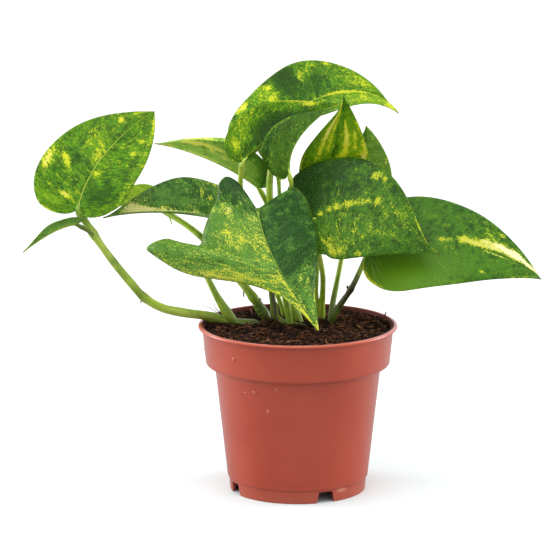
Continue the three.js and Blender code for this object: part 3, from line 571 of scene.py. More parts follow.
def corner_order(faces, corners, rim):
    """The grid's corners that the blade's upper side, under side and wall take, in turn."""
    first_corner = {}
    for face, source in zip(faces, corners):
        for k, c in zip(face, source):
            first_corner.setdefault(k, c)
    order = [k for face in corners for k in face]
    order += [k for face in corners for k in face[::-1]]
    return order + [first_corner[k] for a, b in rim for k in (b, a, a, b)]


def leaf_mesh(name, leaf, seed):
    """A closed blade, with the maps and attributes that its colours follow."""
    grid, rib = leaf_grid(leaf, seed)
    _, first, index = np.unique(
        np.round(grid["place"], 3), axis=0, return_index=True, return_inverse=True,
    )
    shape = (2, LEAF_ROWS + 1, LEAF_COLUMNS + 1)
    faces, corners = blade_faces(index.reshape(shape), np.arange(index.size).reshape(shape))
    middle, x, d, v, relief, heave, paint = (
        grid[key][first] for key in ("place", "x", "d", "v", "ribbed", "heaved", "paint")
    )
    normal = point_normals(middle, faces)
    taper = np.clip(1 - x / rib.length, 0.08, 1)
    half = 0.5 * (MARGIN + (BLADE - MARGIN) * (1 - v**3))
    ridge = RIB_RIDGE * taper * np.exp(-((d / (0.5 + taper)) ** 2)) * np.clip(6 * (1 - v), 0, 1)
    top = middle + normal * (half + relief + heave)[:, None]
    under = middle - normal * (half + ridge - 0.8 * relief - heave)[:, None]

    count = len(middle)
    rim = open_edges(faces)
    blade = faces + [[k + count for k in face[::-1]] for face in faces]
    blade += [[b, a, a + count, b + count] for a, b in rim]
    mesh = new_mesh(name, np.vstack([top, under]), blade)

    order = corner_order(faces, corners, rim)
    offset = 3.7 * seed
    along = grid["s"] + np.repeat([0, 1.7], index.size // 2) + offset
    uv_layer(mesh, "vein", np.stack([along, grid["v"]], -1)[order])
    uv_layer(mesh, "flat", (grid["flat"] / 100 + (offset, 0))[order])
    line = leaf.get("line", 0.35)
    from_rib = d / (line * (0.3 + 0.7 * taper)) if line else np.full(count, NO_LINE)
    point_layer(mesh, "rib", np.tile(from_rib, 2))
    point_layer(mesh, "under", np.repeat([0.0, leaf.get("pale_back", 1.0)], count))
    point_layer(mesh, "paint", np.tile(paint, (2, 1)))
    return smooth(mesh)


# ---------------------------------------------------------------- nodes of the materials
def add(tree, kind, inputs=None, **settings):
    """A node with its settings, and each input either linked or set."""
    node = tree.nodes.new(kind)
    for key, value in settings.items():
        setattr(node, key, value)
    for key, value in (inputs or {}).items():
        if isinstance(value, bpy.types.NodeSocket):
            tree.links.new(value, node.inputs[key])
        else:
            node.inputs[key].default_value = value
    return node


def mix(tree, factor, a, b):
    node = add(tree, "ShaderNodeMix", {0: factor, 6: a, 7: b}, data_type="RGBA")
    return node.outputs[2]


def layered(tree, colour, layers):
    """A colour with others laid over it, each through its mask."""
    for mask, tint in layers:
        colour = mix(tree, mask, colour, tint)
    return colour


def math_node(tree, kind, a, b=0.0, c=0.0):
    return add(tree, "ShaderNodeMath", {0: a, 1: b, 2: c}, operation=kind).outputs[0]


def step(tree, value, low, high, start=0.0, end=1.0):
    """A soft step from start to end as the value goes from low to high."""
    node = add(
        tree, "ShaderNodeMapRange",
        {"Value": value, "From Min": low, "From Max": high, "To Min": start, "To Max": end},
        interpolation_type="SMOOTHSTEP",
    )
    return node.outputs[0]


def vector_node(tree, kind, a, b=(0.0, 0.0, 0.0)):
    """A sum on vectors: a vector, or a number where the sum gives one."""
    node = add(tree, "ShaderNodeVectorMath", {0: a, 1: b}, operation=kind)
    return node.outputs["Value" if kind in ("DISTANCE", "DOT_PRODUCT", "LENGTH") else "Vector"]


def stretch(tree, vector, scale):
    return vector_node(tree, "MULTIPLY", vector, scale)


def own_place(tree):
    return add(tree, "ShaderNodeTexCoord").outputs["Object"]


def height_of(tree, place):
    return add(tree, "ShaderNodeSeparateXYZ", {0: place}).outputs[2]


def bump(tree, shader, strength, distance, height):
    node = add(tree, "ShaderNodeBump", {"Strength": strength, "Distance": distance, "Height": height})
    tree.links.new(node.outputs[0], shader.inputs["Normal"])


def noise(tree, vector, scale, detail=2.0, rough=0.5, warp=0.0):
    node = add(
        tree, "ShaderNodeTexNoise",
        {"Vector": vector, "Scale": scale, "Detail": detail, "Roughness": rough, "Distortion": warp},
    )
    return node.outputs[0]


def rgb(r, g, b):
    """A colour as it looks on a screen, 0 to 255, in the renderer's own scale."""
    return tuple(((c / 255 + 0.055) / 1.055) ** 2.4 if c > 10 else c / 255 / 12.92
                 for c in (r, g, b)) + (1.0,)


def new_group(name, inputs, outputs):
    tree = bpy.data.node_groups.new(name, "ShaderNodeTree")
    for label, kind in inputs:
        tree.interface.new_socket(label, in_out="INPUT", socket_type="NodeSocket" + kind)
    for label, kind in outputs:
        tree.interface.new_socket(label, in_out="OUTPUT", socket_type="NodeSocket" + kind)
    enter = tree.nodes.new("NodeGroupInput").outputs
    leave = tree.nodes.new("NodeGroupOutput").inputs
    return tree, enter, leave


def use_group(tree, group, inputs):
    return add(tree, "ShaderNodeGroup", inputs, node_tree=group).outputs


def new_material(name, **fixed):
    """A material, its node tree and its Principled shader with the fixed inputs set."""
    material = bpy.data.materials.new(name)
    material.use_nodes = True
    tree = material.node_tree
    shader = tree.nodes["Principled BSDF"]
    for key, value in fixed.items():
        shader.inputs[key.replace("_", " ").title().replace("Ior", "IOR")].default_value = value
    return material, tree, shader


# ---------------------------------------------------------------- leaf colours
MARBLING_INPUTS = {
    "Deep": "Color", "Fresh": "Color", "Pale": "Color", "Yellow": "Color", "Cream": "Color",
    "Mottle": "Float", "Speckle": "Float", "Contrast": "Float",
}
PAINTED_SHADE_GREEN = rgb(14, 40, 6)


def fleck_masks(tree, enter, streak, speck, yellow_paint):
    """Where yellow flecks lie, and the paler green round them."""
    patch = noise(tree, stretch(tree, enter["Vein"], (26, 4, 1)), 1, 3, 0.6, 0.6)
    mixed = math_node(tree, "MULTIPLY", streak, math_node(tree, "SUBTRACT", 0.72, enter["Speckle"]))
    mixed = math_node(tree, "MULTIPLY_ADD", patch, 0.28, mixed)
    mixed = math_node(tree, "MULTIPLY_ADD", speck, enter["Speckle"], mixed)
    mixed = math_node(tree, "SUBTRACT", mixed, 0.5)
    mixed = math_node(tree, "MULTIPLY_ADD", mixed, enter["Contrast"], 0.5)
    mixed = math_node(tree, "MULTIPLY_ADD", yellow_paint, 0.17, mixed)
    ready = math_node(tree, "ADD", mixed, enter["Mottle"])
    return step(tree, ready, 0.565, 0.63), step(tree, ready, 0.48, 0.6)


def mottled_green(tree, enter, streak, light_and_shade_paint, pale):
    """Deep to fresh green in clouds and streaks; paint below zero is painted shade, above zero lighter
    green and in places painted light; fine grain with pale specks painted as glints.
    """
    cloud = noise(tree, enter["Flat"], 16, 5, 0.62, 0.5)
    grain = noise(tree, enter["Flat"], 130, 2, 0.6)
    tone = math_node(tree, "MULTIPLY", streak, 0.4)
    tone = math_node(tree, "MULTIPLY_ADD", cloud, 0.6, tone)
    tone = math_node(tree, "MULTIPLY_ADD", light_and_shade_paint, 0.22, tone)
    green = mix(tree, step(tree, tone, 0.39, 0.6), enter["Deep"], enter["Fresh"])
    layers = (
        # painted shade: paint below zero darkens towards the darkest green; above zero it turns paler,
        # which is painted light on the broad patches
        (step(tree, light_and_shade_paint, -1.2, -0.2, 0.6, 0.0), PAINTED_SHADE_GREEN),
        (step(tree, light_and_shade_paint, 0.0, 1.2, 0.0, 0.5), enter["Pale"]),
        (math_node(tree, "MULTIPLY", pale, 0.6), enter["Pale"]),
        # fine grain: the pale specks are painted glints of small glossy bumps, with darker specks
        # between
        (step(tree, grain, 0.34, 0.46, 0.35, 0.0), enter["Deep"]),
        (step(tree, grain, 0.55, 0.67, 0.0, 0.3), enter["Pale"]),
    )
    return layered(tree, green, layers)


def marbling_group():
    """Green with streaks and flecks along the veins, yellow to cream."""
    tree, enter, leave = new_group(
        "marbling",
        [("Vein", "Vector"), ("Flat", "Vector"), ("Paint", "Vector"), *MARBLING_INPUTS.items()],
        [("Color", "Color"), ("Fleck", "Float"), ("Height", "Float")],
    )
    paint = add(tree, "ShaderNodeSeparateXYZ", {0: enter["Paint"]}).outputs
    yellow_paint, cream_paint, light_and_shade_paint = paint
    streak = noise(tree, stretch(tree, enter["Vein"], (95, 9, 1)), 1, 4, 0.65, 0.9)
    speck = noise(tree, enter["Flat"], 95, 4, 0.72, 0.3)
    yellow, pale = fleck_masks(tree, enter, streak, speck, yellow_paint)
    green = mottled_green(tree, enter, streak, light_and_shade_paint, pale)
    bright = mix(tree, step(tree, cream_paint, 0.1, 0.95), enter["Yellow"], enter["Cream"])
    colour = mix(tree, math_node(tree, "MULTIPLY", yellow, 0.94), green, bright)
    tree.links.new(colour, leave["Color"])
    tree.links.new(yellow, leave["Fleck"])
    tree.links.new(math_node(tree, "MULTIPLY_ADD", streak, 0.6, speck), leave["Height"])
    return tree


MARBLING = marbling_group()


def leaf_colour(tree, look, ribbed, below):
    """Marbled green with pale veins, rib and margin, and the under side; and where flecks lie."""
    vein = add(tree, "ShaderNodeUVMap", uv_map="vein").outputs[0]
    flat = add(tree, "ShaderNodeUVMap", uv_map="flat").outputs[0]
    paint = add(tree, "ShaderNodeAttribute", attribute_name="paint").outputs["Vector"]
    inputs = {key: look[key.lower()] for key in MARBLING_INPUTS}
    marbled = use_group(tree, MARBLING, {"Vein": vein, "Flat": flat, "Paint": paint, **inputs})
    across = add(tree, "ShaderNodeSeparateXYZ", {0: vein}).outputs
    wave = math_node(tree, "PINGPONG", math_node(tree, "MULTIPLY", across[0], SIDE_VEINS), 0.5)
    line = step(tree, wave, 0.0, 0.07, 1.0, 0.0)
    fade = step(tree, across[1], 0.3, 0.9, 0.09, 0.0)
    colour = mix(tree, math_node(tree, "MULTIPLY", line, fade), marbled["Color"], look["pale"])
    colour = mix(tree, step(tree, ribbed, 0.35, 1.1, 0.85, 0.0), colour, look["rib"])
    colour = mix(tree, step(tree, across[1], 0.975, 0.997, 0.0, 0.2), colour, look["rib"])
    beneath = mix(tree, 0.35, look["under"], marbled["Color"])
    beneath = mix(tree, step(tree, ribbed, 0.6, 2.0, 0.8, 0.0), beneath, look["rib"])
    return mix(tree, below, colour, beneath), marbled


def leaf_material(name, look):
    material, tree, shader = new_material(name, specular_ior_level=0.1, coat_roughness=0.3)
    ribbed = add(tree, "ShaderNodeAttribute", attribute_name="rib").outputs["Fac"]
    below = add(tree, "ShaderNodeAttribute", attribute_name="under").outputs["Fac"]
    colour, marbled = leaf_colour(tree, look, ribbed, below)
    tree.links.new(colour, shader.inputs["Base Color"])
    dull = math_node(tree, "MULTIPLY", marbled["Fleck"], 0.06)
    dull = math_node(tree, "ADD", dull, look["roughness"])
    dull = math_node(tree, "ADD", dull, math_node(tree, "MULTIPLY", below, 0.22))
    tree.links.new(dull, shader.inputs["Roughness"])
    tree.links.new(step(tree, below, 0.2, 0.8, 0.08, 0.0), shader.inputs["Coat Weight"])
    bump(tree, shader, 0.3, 0.0003, marbled["Height"])
    return material


# under, rib: colours of the under side and of the rib. mottle: how readily yellow shows.
# speckle: share of fine specks in it. contrast: how hard its edges are.
LOOKS = {
    "leaves_mottled": dict(
        deep=rgb(32, 76, 2), fresh=rgb(74, 128, 4), pale=rgb(134, 172, 10),
        yellow=rgb(200, 204, 34), cream=rgb(236, 222, 120), under=rgb(100, 136, 44),
        rib=rgb(184, 196, 70), mottle=0.0, speckle=0.38, contrast=1.1, roughness=0.46,
    ),
    "leaves_dark": dict(
        deep=rgb(26, 63, 8), fresh=rgb(61, 110, 20), pale=rgb(111, 153, 22),
        yellow=rgb(194, 197, 42), cream=rgb(246, 236, 176), under=rgb(84, 118, 44),
        rib=rgb(116, 150, 50), mottle=-0.01, speckle=0.42, contrast=1.15, roughness=0.44,
    ),
    # bluish greens with sharper specks, painted in place of the sheen of glossy leaves
    "cool": dict(
        deep=rgb(30, 72, 22), fresh=rgb(84, 134, 46), pale=rgb(138, 176, 72),
        yellow=rgb(216, 218, 60), cream=rgb(238, 230, 150), under=rgb(100, 136, 60),
        rib=rgb(160, 180, 62), mottle=-0.026, speckle=0.5, contrast=1.5, roughness=0.44,
    ),
    # paler greens: the leaves' own light green, raised further as painted light for a leaf lit from
    # behind
    "leaves_pale": dict(
        deep=rgb(82, 140, 30), fresh=rgb(148, 194, 72), pale=rgb(184, 216, 104),
        yellow=rgb(234, 234, 84), cream=rgb(246, 240, 160), under=rgb(134, 184, 80),
        rib=rgb(176, 198, 88), mottle=0.01, speckle=0.34, contrast=1.0, roughness=0.48,
    ),
}
LEAF_FINISH = {
    name: leaf_material("leaf_" + name.removeprefix("leaves_"), look)
    for name, look in LOOKS.items()
}


# ---------------------------------------------------------------- pieces
def finish_piece(mesh, material, slot, *nodes):
    """Puts a finished mesh in the scene in place of its solids."""
    piece = bpy.data.objects.new(mesh.name, mesh)
    bpy.context.scene.collection.objects.link(piece)
    mesh.materials.clear()
    mesh.materials.append(material)
    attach(piece, "root")
    if nodes:
        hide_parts(*nodes)
    return piece


def make_leaves():
    for number, (name, leaf) in enumerate(LEAVES.items()):
        blade = leaf_mesh("blade_" + name, leaf, 1.0 + number)
        finish = LEAF_FINISH[leaf.get("look", leaf["slot"])]
        finish_piece(blade, finish, leaf["slot"], "leaf_" + name)


make_leaves()


# ---------------------------------------------------------------- stems and petioles
STEM_SIDES = 20
STEM_STEP = 1.2  # length of one step along a stem
RIB_SHARE = 0.055  # how far a petiole runs on under its leaf's rib, by the rib's length
UNDER_JOINT = 0.9  # how far under the blade it is where it meets the leaf
UNDER_RIB = 0.75  # and where it ends
KNEE = 0.35  # swelling just below the leaf

# Each run has its route from the soil up, its radius at the root and at the end, and the leaf it
# carries. rings: how far along it nodes stand out, how far, and over what length. bark: how much
# of it is dark and corky, at shares of its length.
STEMS = {
    "stem_left": [
        dict(
            route=[(-19, 4, 97), (-27, 9, 98.5), (-42, 12, 99.5), (-55, 9, 104), (-68, 4, 107),
                   (-81.5, 0, 111), (-92, -3, 118), (-99.5, -5, 127), (-109, -6, 139),
                   (-119.5, -7, 154), (-126, -6, 164), (-129, -4, 170)],
            radius=(3.1, 2), leaf="left_high",
            rings=[(0.06, 0.5, 2), (0.22, 0.7, 4), (0.53, 0.55, 3), (0.86, 0.7, 4)],
            bark=[(0, 0.7), (0.12, 0.25), (0.5, 0.1), (0.55, 0.45), (0.62, 0.25), (0.9, 0.2)],
        ),
        dict(
            route=[(-119.5, -7, 155), (-126, -11, 161), (-132, -16, 166)],
            radius=(1.4, 0.9), leaf="left_folded", bark=[(0, 0.5), (1, 0.4)],
        ),
        dict(
            route=[(-38, 11, 99), (-44, 10, 108), (-51, 8, 121), (-56, 7, 134), (-55, 12, 148),
                   (-47, 20, 158.5)],
            radius=(2.2, 1.6), leaf="left_middle", rings=[(0.1, 0.9, 9)],
        ),
    ],
    "petiole_left_behind": [
        dict(
            route=[(-17, 22, 94), (-20, 22, 102), (-28, 22, 114), (-36, 24, 124), (-56, 30, 146),
                   (-67, 36, 154), (-79, 45, 160), (-83, 49, 161.5)],
            radius=(3, 1.6), leaf="left_behind", rings=[(0.08, 0.5, 3), (0.2, 0.35, 2)],
            bark=[(0, 0.7), (0.15, 0.5), (0.2, 0), (1, 0)],
        ),
    ],
    "petiole_front": [
        dict(
            route=[(-4, 3, 93), (-6, 2, 110), (-12, 0, 135), (-20, -4, 158), (-23, -11, 170)],
            radius=(2.2, 1.6), leaf="front",
        ),
    ],
    "petiole_top_front": [
        dict(
            route=[(-8, 14, 93), (-13, 15, 101), (-15, 14, 112), (-17, 13, 125), (-26, 11, 155),
                   (-34, 9, 180), (-34, 5, 192), (-33, 2, 199)],
            radius=(2, 1.4), leaf="top_front", rings=[(0.12, 0.4, 2)],
            bark=[(0, 0.9), (0.3, 0.4), (0.4, 0)],
        ),
    ],
    "petiole_back_left": [
        dict(
            route=[(-7, 26, 93), (-9, 26, 104), (-13, 26, 117), (-14, 25, 145), (-18, 24, 168),
                   (-22, 23, 178.5)],
            radius=(1.6, 1.4), leaf="back_left",
        ),
    ],
    "petiole_top": [
        dict(
            route=[(4, 8, 93), (-2, 9, 108), (-8, 10, 122), (-15, 12, 160), (-17, 13, 182),
                   (-16, 13, 194), (-14, 26, 206), (-16.5, 40, 213)],
            radius=(2.6, 1.7), leaf="top", rings=[(0.1, 0.5, 3)],
        ),
    ],
    "petiole_back_small": [
        dict(
            route=[(2, 20, 93), (-2, 21, 115), (-9, 23, 150), (-11, 26, 175), (-12, 32, 191)],
            radius=(1.5, 1.2), leaf="back_small",
        ),
    ],
    "petiole_centre_fold": [
        dict(
            route=[(6, 14, 93), (5, 14, 108), (1, 9, 128), (-5, 1, 148), (-8, -1, 162),
                   (-7, -1, 174), (-4, -2.5, 184), (-6, -10.5, 193)],
            radius=(1.6, 1.2), leaf="centre_fold",
        ),
    ],
    "stem_centre_right": [
        dict(
            route=[(14, 21, 93), (14, 19, 104), (15, 14, 116), (15, 6, 130), (13, 0, 142),
                   (9.5, -4, 155), (8.5, -7, 163)],
            radius=(1.9, 1.4), leaf="right_centre", rings=[(0.12, 0.9, 7)],
        ),
        dict(
            route=[(13.5, 20, 101), (11, 16, 115), (12, 15, 135), (15, 19, 160), (17, 26, 175)],
            radius=(1.6, 1.4), leaf="upper_right",
        ),
    ],
    "stem_right": [
        dict(
            route=[(19, 10, 93), (21, 8, 103), (26, 6, 112), (31, 4, 120), (34, 2, 126),
                   (42, 2, 143)],
            radius=(2, 1.5), leaf="right_low", rings=[(0.2, 0.3, 2), (0.5, 0.45, 2)],
            bark=[(0, 1), (0.2, 0.7), (0.45, 1), (0.62, 0.8), (0.68, 0.15), (1, 0)],
        ),
        dict(
            route=[(19.5, 10, 99), (21, 13, 110), (23, 16, 120), (28, 25, 145), (32, 38.5, 171)],
            radius=(1.8, 1.4), leaf="right_behind", bark=[(0, 0.6), (0.2, 0.35), (0.3, 0)],
        ),
    ],
}


def run_path(run):
    """The close points of a run, on under its leaf's rib, and its radius at each."""
    leaf = LEAVES[run["leaf"]]
    point, _, up = Rib(leaf).at(np.array([0.0, RIB_SHARE]))
    joined = list(run["route"][:-1])
    joined += [point[0] - UNDER_JOINT * up[0], point[1] - UNDER_RIB * up[1]]
    path = smooth_path(joined)
    length = np.linalg.norm(np.diff(path, axis=0), axis=1).sum()
    shares = np.linspace(0, 1, max(12, round(length / STEM_STEP)))
    path = by_length(path, shares)
    at = shares * length
    radius = run["radius"][0] + (run["radius"][1] - run["radius"][0]) * shares
    radius = radius + KNEE * np.exp(-(((length - at - 9) / 4) ** 2))
    for share, swell, over in run.get("rings", ()):
        radius = radius + swell * np.exp(-(((at - share * length) / over) ** 2))
    radius = radius * (1 + 0.03 * np.sin(at / 7.3) + 0.02 * np.sin(at / 2.9 + 1))
    radius = radius * (1 - 0.62 * np.clip((at - length + 7) / 7, 0, 1) ** 1.5)
    bark = np.interp(shares, *zip(*run.get("bark", [(0, 0)])))
    return path, radius, at, bark


def frames_along(path):
    """Directions along and across a path, that turn with it and never twist."""
    ahead = unit(np.gradient(path, axis=0))
    side = np.cross(ahead[0], (0.3, 0.9, 0.1))
    sides = []
    for way in ahead:
        side = side - way * np.dot(side, way)
        side = side / np.linalg.norm(side)
        sides.append(side)
    sides = np.array(sides)
    return ahead, sides, np.cross(ahead, sides)


def tube(name, path, radius, at, bark=0.0):
    """A closed round tube with a map of its length and girth, and how much bark it has."""
    ahead, side, up = frames_along(path)
    turn = np.linspace(0, 2 * math.pi, STEM_SIDES, endpoint=False)
    uneven = 1 + 0.03 * np.cos(2 * turn + 1) + 0.02 * np.cos(3 * turn)
    around = side[:, None] * np.cos(turn)[:, None] + up[:, None] * np.sin(turn)[:, None]
    points = path[:, None] + around * (radius[:, None] * uneven)[..., None]
    steps = len(path)
    ends = [path[0] - ahead[0] * radius[0] * 0.5, path[-1] + ahead[-1] * radius[-1] * 0.6]
    points = np.vstack([points.reshape(-1, 3), ends])
    faces = []
    uvs = []
    for i in range(steps - 1):
        for j in range(STEM_SIDES):
            k = (j + 1) % STEM_SIDES
            a, b = i * STEM_SIDES, (i + 1) * STEM_SIDES
            faces.append([a + j, a + k, b + k, b + j])
            low, high, left, right = at[i], at[i + 1], j / STEM_SIDES, (j + 1) / STEM_SIDES
            uvs += [(low, left), (low, right), (high, right), (high, left)]
    last = (steps - 1) * STEM_SIDES
    for j in range(STEM_SIDES):
        k = (j + 1) % STEM_SIDES
        faces.append([k, j, steps * STEM_SIDES])
        faces.append([last + j, last + k, steps * STEM_SIDES + 1])
        uvs += [(0, 0)] * 3 + [(at[-1], 0)] * 3
    mesh = new_mesh(name, points, faces)
    uv_layer(mesh, "length", np.array(uvs) * (0.01, 1))
    bark = np.repeat(bark + 0 * radius, STEM_SIDES)
    point_layer(mesh, "bark", np.append(bark, bark[[0, -1]]))
    return smooth(mesh)


def joined_solids(meshes, operation="UNION"):
    """One closed mesh of several, joined to the first or cut out of it."""
    objects = [bpy.data.objects.new(mesh.name, mesh) for mesh in meshes]
    for item in objects:
        bpy.context.scene.collection.objects.link(item)
    for item in objects[1:]:
        cut = objects[0].modifiers.new("join", "BOOLEAN")
        cut.operation = operation
        cut.solver = "MANIFOLD"
        cut.object = item
    graph = bpy.context.evaluated_depsgraph_get()
    mesh = bpy.data.meshes.new_from_object(objects[0].evaluated_get(graph))
    for item in objects:
        bpy.data.objects.remove(item)
    return mesh


STEM_DARK = rgb(86, 126, 18)


def stem_material():
    """Yellow-green skin with fine lengthwise streaks, dark where it is corky or near the soil."""
    material, tree, shader = new_material(
        "stem_skin", specular_ior_level=0.35, coat_weight=0.25, coat_roughness=0.2,
    )
    along = add(tree, "ShaderNodeUVMap", uv_map="length").outputs[0]
    place = own_place(tree)
    height = height_of(tree, place)
    corky = add(tree, "ShaderNodeAttribute", attribute_name="bark").outputs["Fac"]
    streaks = noise(tree, stretch(tree, along, (3, 11, 1)), 1, 4, 0.6)
    cloud = noise(tree, place, 45, 3, 0.6)
    flecks = noise(tree, place, 900, 2, 0.6)
    colour = mix(tree, step(tree, streaks, 0.42, 0.6), rgb(156, 192, 44), rgb(204, 222, 96))
    shaded = math_node(tree, "MULTIPLY_ADD", streaks, 0.5, corky)
    crust = math_node(tree, "MULTIPLY_ADD", flecks, 0.6, math_node(tree, "MULTIPLY", cloud, 0.6))
    crust = math_node(tree, "MULTIPLY_ADD", corky, 0.5, crust)
    stain = step(tree, height, 0.0985, 0.106, 0.7, 0.0)
    layers = (
        (step(tree, cloud, 0.42, 0.66, 0.0, 0.75), STEM_DARK),
        (step(tree, flecks, 0.64, 0.75, 0.0, 0.4), STEM_DARK),
        (step(tree, height, 0.103, 0.135, 0.3, 0.0), rgb(84, 110, 24)),
        (step(tree, shaded, 0.3, 0.8, 0.0, 0.8), rgb(66, 84, 20)),
        (step(tree, crust, 0.98, 1.1, 0.0, 0.85), rgb(58, 36, 30)),
        (math_node(tree, "MULTIPLY", stain, step(tree, streaks, 0.4, 0.55)), rgb(62, 44, 26)),
    )
    tree.links.new(layered(tree, colour, layers), shader.inputs["Base Color"])
    tree.links.new(step(tree, streaks, 0.3, 0.7, 0.34, 0.5), shader.inputs["Roughness"])
    bump(tree, shader, 0.3, 0.0003, streaks)
    return material


# Small growths: route, radius at each end, and how much bark is on it.
NUBS = [
    ([(-77.5, 44, 161), (-78.3, 45, 158.8), (-77.2, 45, 155.5), (-76.6, 45, 153)], (0.8, 0.25), 0),
    ([(-91.5, -2, 119), (-92.6, -2, 116.8), (-94.6, -2, 114.4)], (1.0, 0.3), 0.9),
    ([(-29.5, 23.5, 117.5), (-31.8, 24, 116.6), (-32.8, 24, 115), (-32.6, 24, 112.4)],
     (0.7, 0.35), 1),
    ([(-25, 22, 111.5), (-24.4, 22, 108.5), (-22.2, 22, 104.6), (-19.5, 22, 101.5)],
     (2.7, 3.2), 0.45),
    ([(-15.5, 9, 122), (-14.3, 8, 112), (-12.8, 6, 104), (-10, 4, 100.8), (-3, 2, 99.6)],
     (0.5, 0.8), 1),
    ([(-13.6, 9.5, 112), (-12, 7, 104), (-8, 4, 101.4), (-1, 2, 100.4), (5, 1, 98.6)],
     (1.2, 1.5), 0.35),
    ([(31, 5, 120.5), (29.9, 5, 122.2), (29.6, 5, 123.4)], (1.1, 0.5), 1),
]


def tapered(name, route, radii, bark=0.0):
    """A thin round growth along a route."""
    path = smooth_path(route, 8)
    at = np.concatenate([[0], np.cumsum(np.linalg.norm(np.diff(path, axis=0), axis=1))])
    radius = np.interp(at, (0, at[-1]), radii) * (1 + 0.06 * np.sin(2.3 * at))
    return tube(name, path, radius, at, bark)


def make_stems():
    skin = stem_material()
    nubs = joined_solids([tapered("nub", *nub) for nub in NUBS])
    nubs.name = "nubs_and_sheaths"
    finish_piece(nubs, skin, "stems")
    for name, runs in STEMS.items():
        green = joined_solids([tube(name, *run_path(run)) for run in runs])
        green.name = "green_" + name
        finish_piece(smooth(green), skin, "stems", name)


make_stems()

# ---------------------------------------------------------------- pot
POT = dict(
    height=101, lip=60, lip_height=1.8, band_top=57.5, band_foot=55.4, band_low=78.5,
    body_high=75.5, body_top=49.9, body_foot=42.3, foot_top=41.4, foot_end=40.7, foot_height=7.6,
    wall=1.6, floor=6, floor_thick=1.8, shoulder=2, foot_step=0.9,
)
NOTCH = dict(count=4, first=-66, top=9, bottom=11, height=6.9, corner=0.9)
DRAIN = dict(count=4, radius=4.5, ring=24, first=15)
POT_SEGMENTS = 240
DRAIN_SEGMENTS = 40


def filleted(corners, steps=5):
    """A profile with each corner rounded: corners are radius, height and fillet."""
    profile = []
    points = [np.array(corner[:2], float) for corner in corners]
    for k, corner in enumerate(corners):
        fillet = corner[2] if len(corner) > 2 else 0
        if not fillet or k in (0, len(corners) - 1):
            profile.append(points[k])
            continue
        before, after = points[k - 1] - points[k], points[k + 1] - points[k]
        reach = min(fillet, 0.45 * np.linalg.norm(before), 0.45 * np.linalg.norm(after))
        start, end = points[k] + unit(before) * reach, points[k] + unit(after) * reach
        for t in np.linspace(0, 1, steps):
            profile.append((1 - t) ** 2 * start + 2 * t * (1 - t) * points[k] + t * t * end)
    return np.array(profile)


def turned(name, profile, segments):
    """A profile that starts and ends on the axis, turned into a closed body."""
    turn = np.linspace(0, 2 * math.pi, segments, endpoint=False)
    ring = profile[1:-1]
    points = np.stack([
        ring[:, :1] * np.cos(turn), ring[:, :1] * np.sin(turn), ring[:, 1:] + 0 * turn,
    ], -1).reshape(-1, 3)
    low, high = len(points), len(points) + 1
    points = np.vstack([points, (0, 0, profile[0][1]), (0, 0, profile[-1][1])])
    faces = []
    for j in range(segments):
        k = (j + 1) % segments
        faces.append([low, k, j])
        last = (len(ring) - 1) * segments
        faces.append([high, last + j, last + k])
        for i in range(len(ring) - 1):
            a, b = i * segments, (i + 1) * segments
            faces.append([a + j, a + k, b + k, b + j])
    return new_mesh(name, points, faces)


def cavity(gap=0.0):
    """The inner wall from the floor to the lip."""
    wall = POT["wall"] + gap
    return [
        (POT["body_foot"] - wall, POT["floor"] + POT["floor_thick"] + gap, 1.5),
        (POT["body_top"] - wall, POT["body_high"] - 0.5, 1),
        (POT["band_foot"] - wall - POT["shoulder"], POT["body_high"] + 1, 0.8),
        (POT["band_foot"] - wall, POT["band_low"] + 0.5, 0.8),
        (POT["band_top"] - wall, POT["height"] - POT["lip_height"], 0.4),
    ]


def prism(name, outline, low, high, turn):
    """A flat outline pushed from one depth to another along X, then turned about the axis."""
    count = len(outline)
    points = [(x, y, z) for x in (low, high) for y, z in outline]
    faces = [list(range(count))[::-1], [k + count for k in range(count)]]
    faces += [[k, (k + 1) % count, (k + 1) % count + count, k + count] for k in range(count)]
    c, s = math.cos(turn), math.sin(turn)
    mesh = new_mesh(name, [(x * c - y * s, x * s + y * c, z) for x, y, z in points], faces)
    shell = bmesh.new()
    shell.from_mesh(mesh)
    bmesh.ops.recalc_face_normals(shell, faces=shell.faces)
    shell.to_mesh(mesh)
    shell.free()
    return mesh


def pot_body():
    """The pot before its notches and holes are cut."""
    lip_foot = POT["height"] - POT["lip_height"]
    outside = [
        (0, POT["floor"]),
        (POT["foot_end"] - POT["wall"], POT["floor"], 0.6),
        (POT["foot_end"] - POT["wall"], 0, 0.5),
        (POT["foot_end"], 0, 0.5),
        (POT["foot_top"], POT["foot_height"], 0.3),
        (POT["body_foot"], POT["foot_height"] + POT["foot_step"], 0.5),
        (POT["body_top"], POT["body_high"], 0.8),
        (POT["band_foot"] - POT["shoulder"], POT["body_high"] + 1, 1.0),
        (POT["band_foot"] - 0.4, POT["band_low"] - 1, 0.9),
        (POT["band_foot"], POT["band_low"], 0.8),
        (POT["band_top"], lip_foot, 0.3),
        (POT["lip"] - 0.4, lip_foot, 0.4),
        (POT["lip"], POT["height"] - POT["lip_height"] / 2, 0.6),
        (POT["lip"] - 0.5, POT["height"], 0.6),
        (POT["band_top"] - POT["wall"] + 0.8, POT["height"], 0.6),
    ]
    floor = [(0, POT["floor"] + POT["floor_thick"])]
    return turned("pot", filleted(outside + cavity()[::-1] + floor), POT_SEGMENTS)


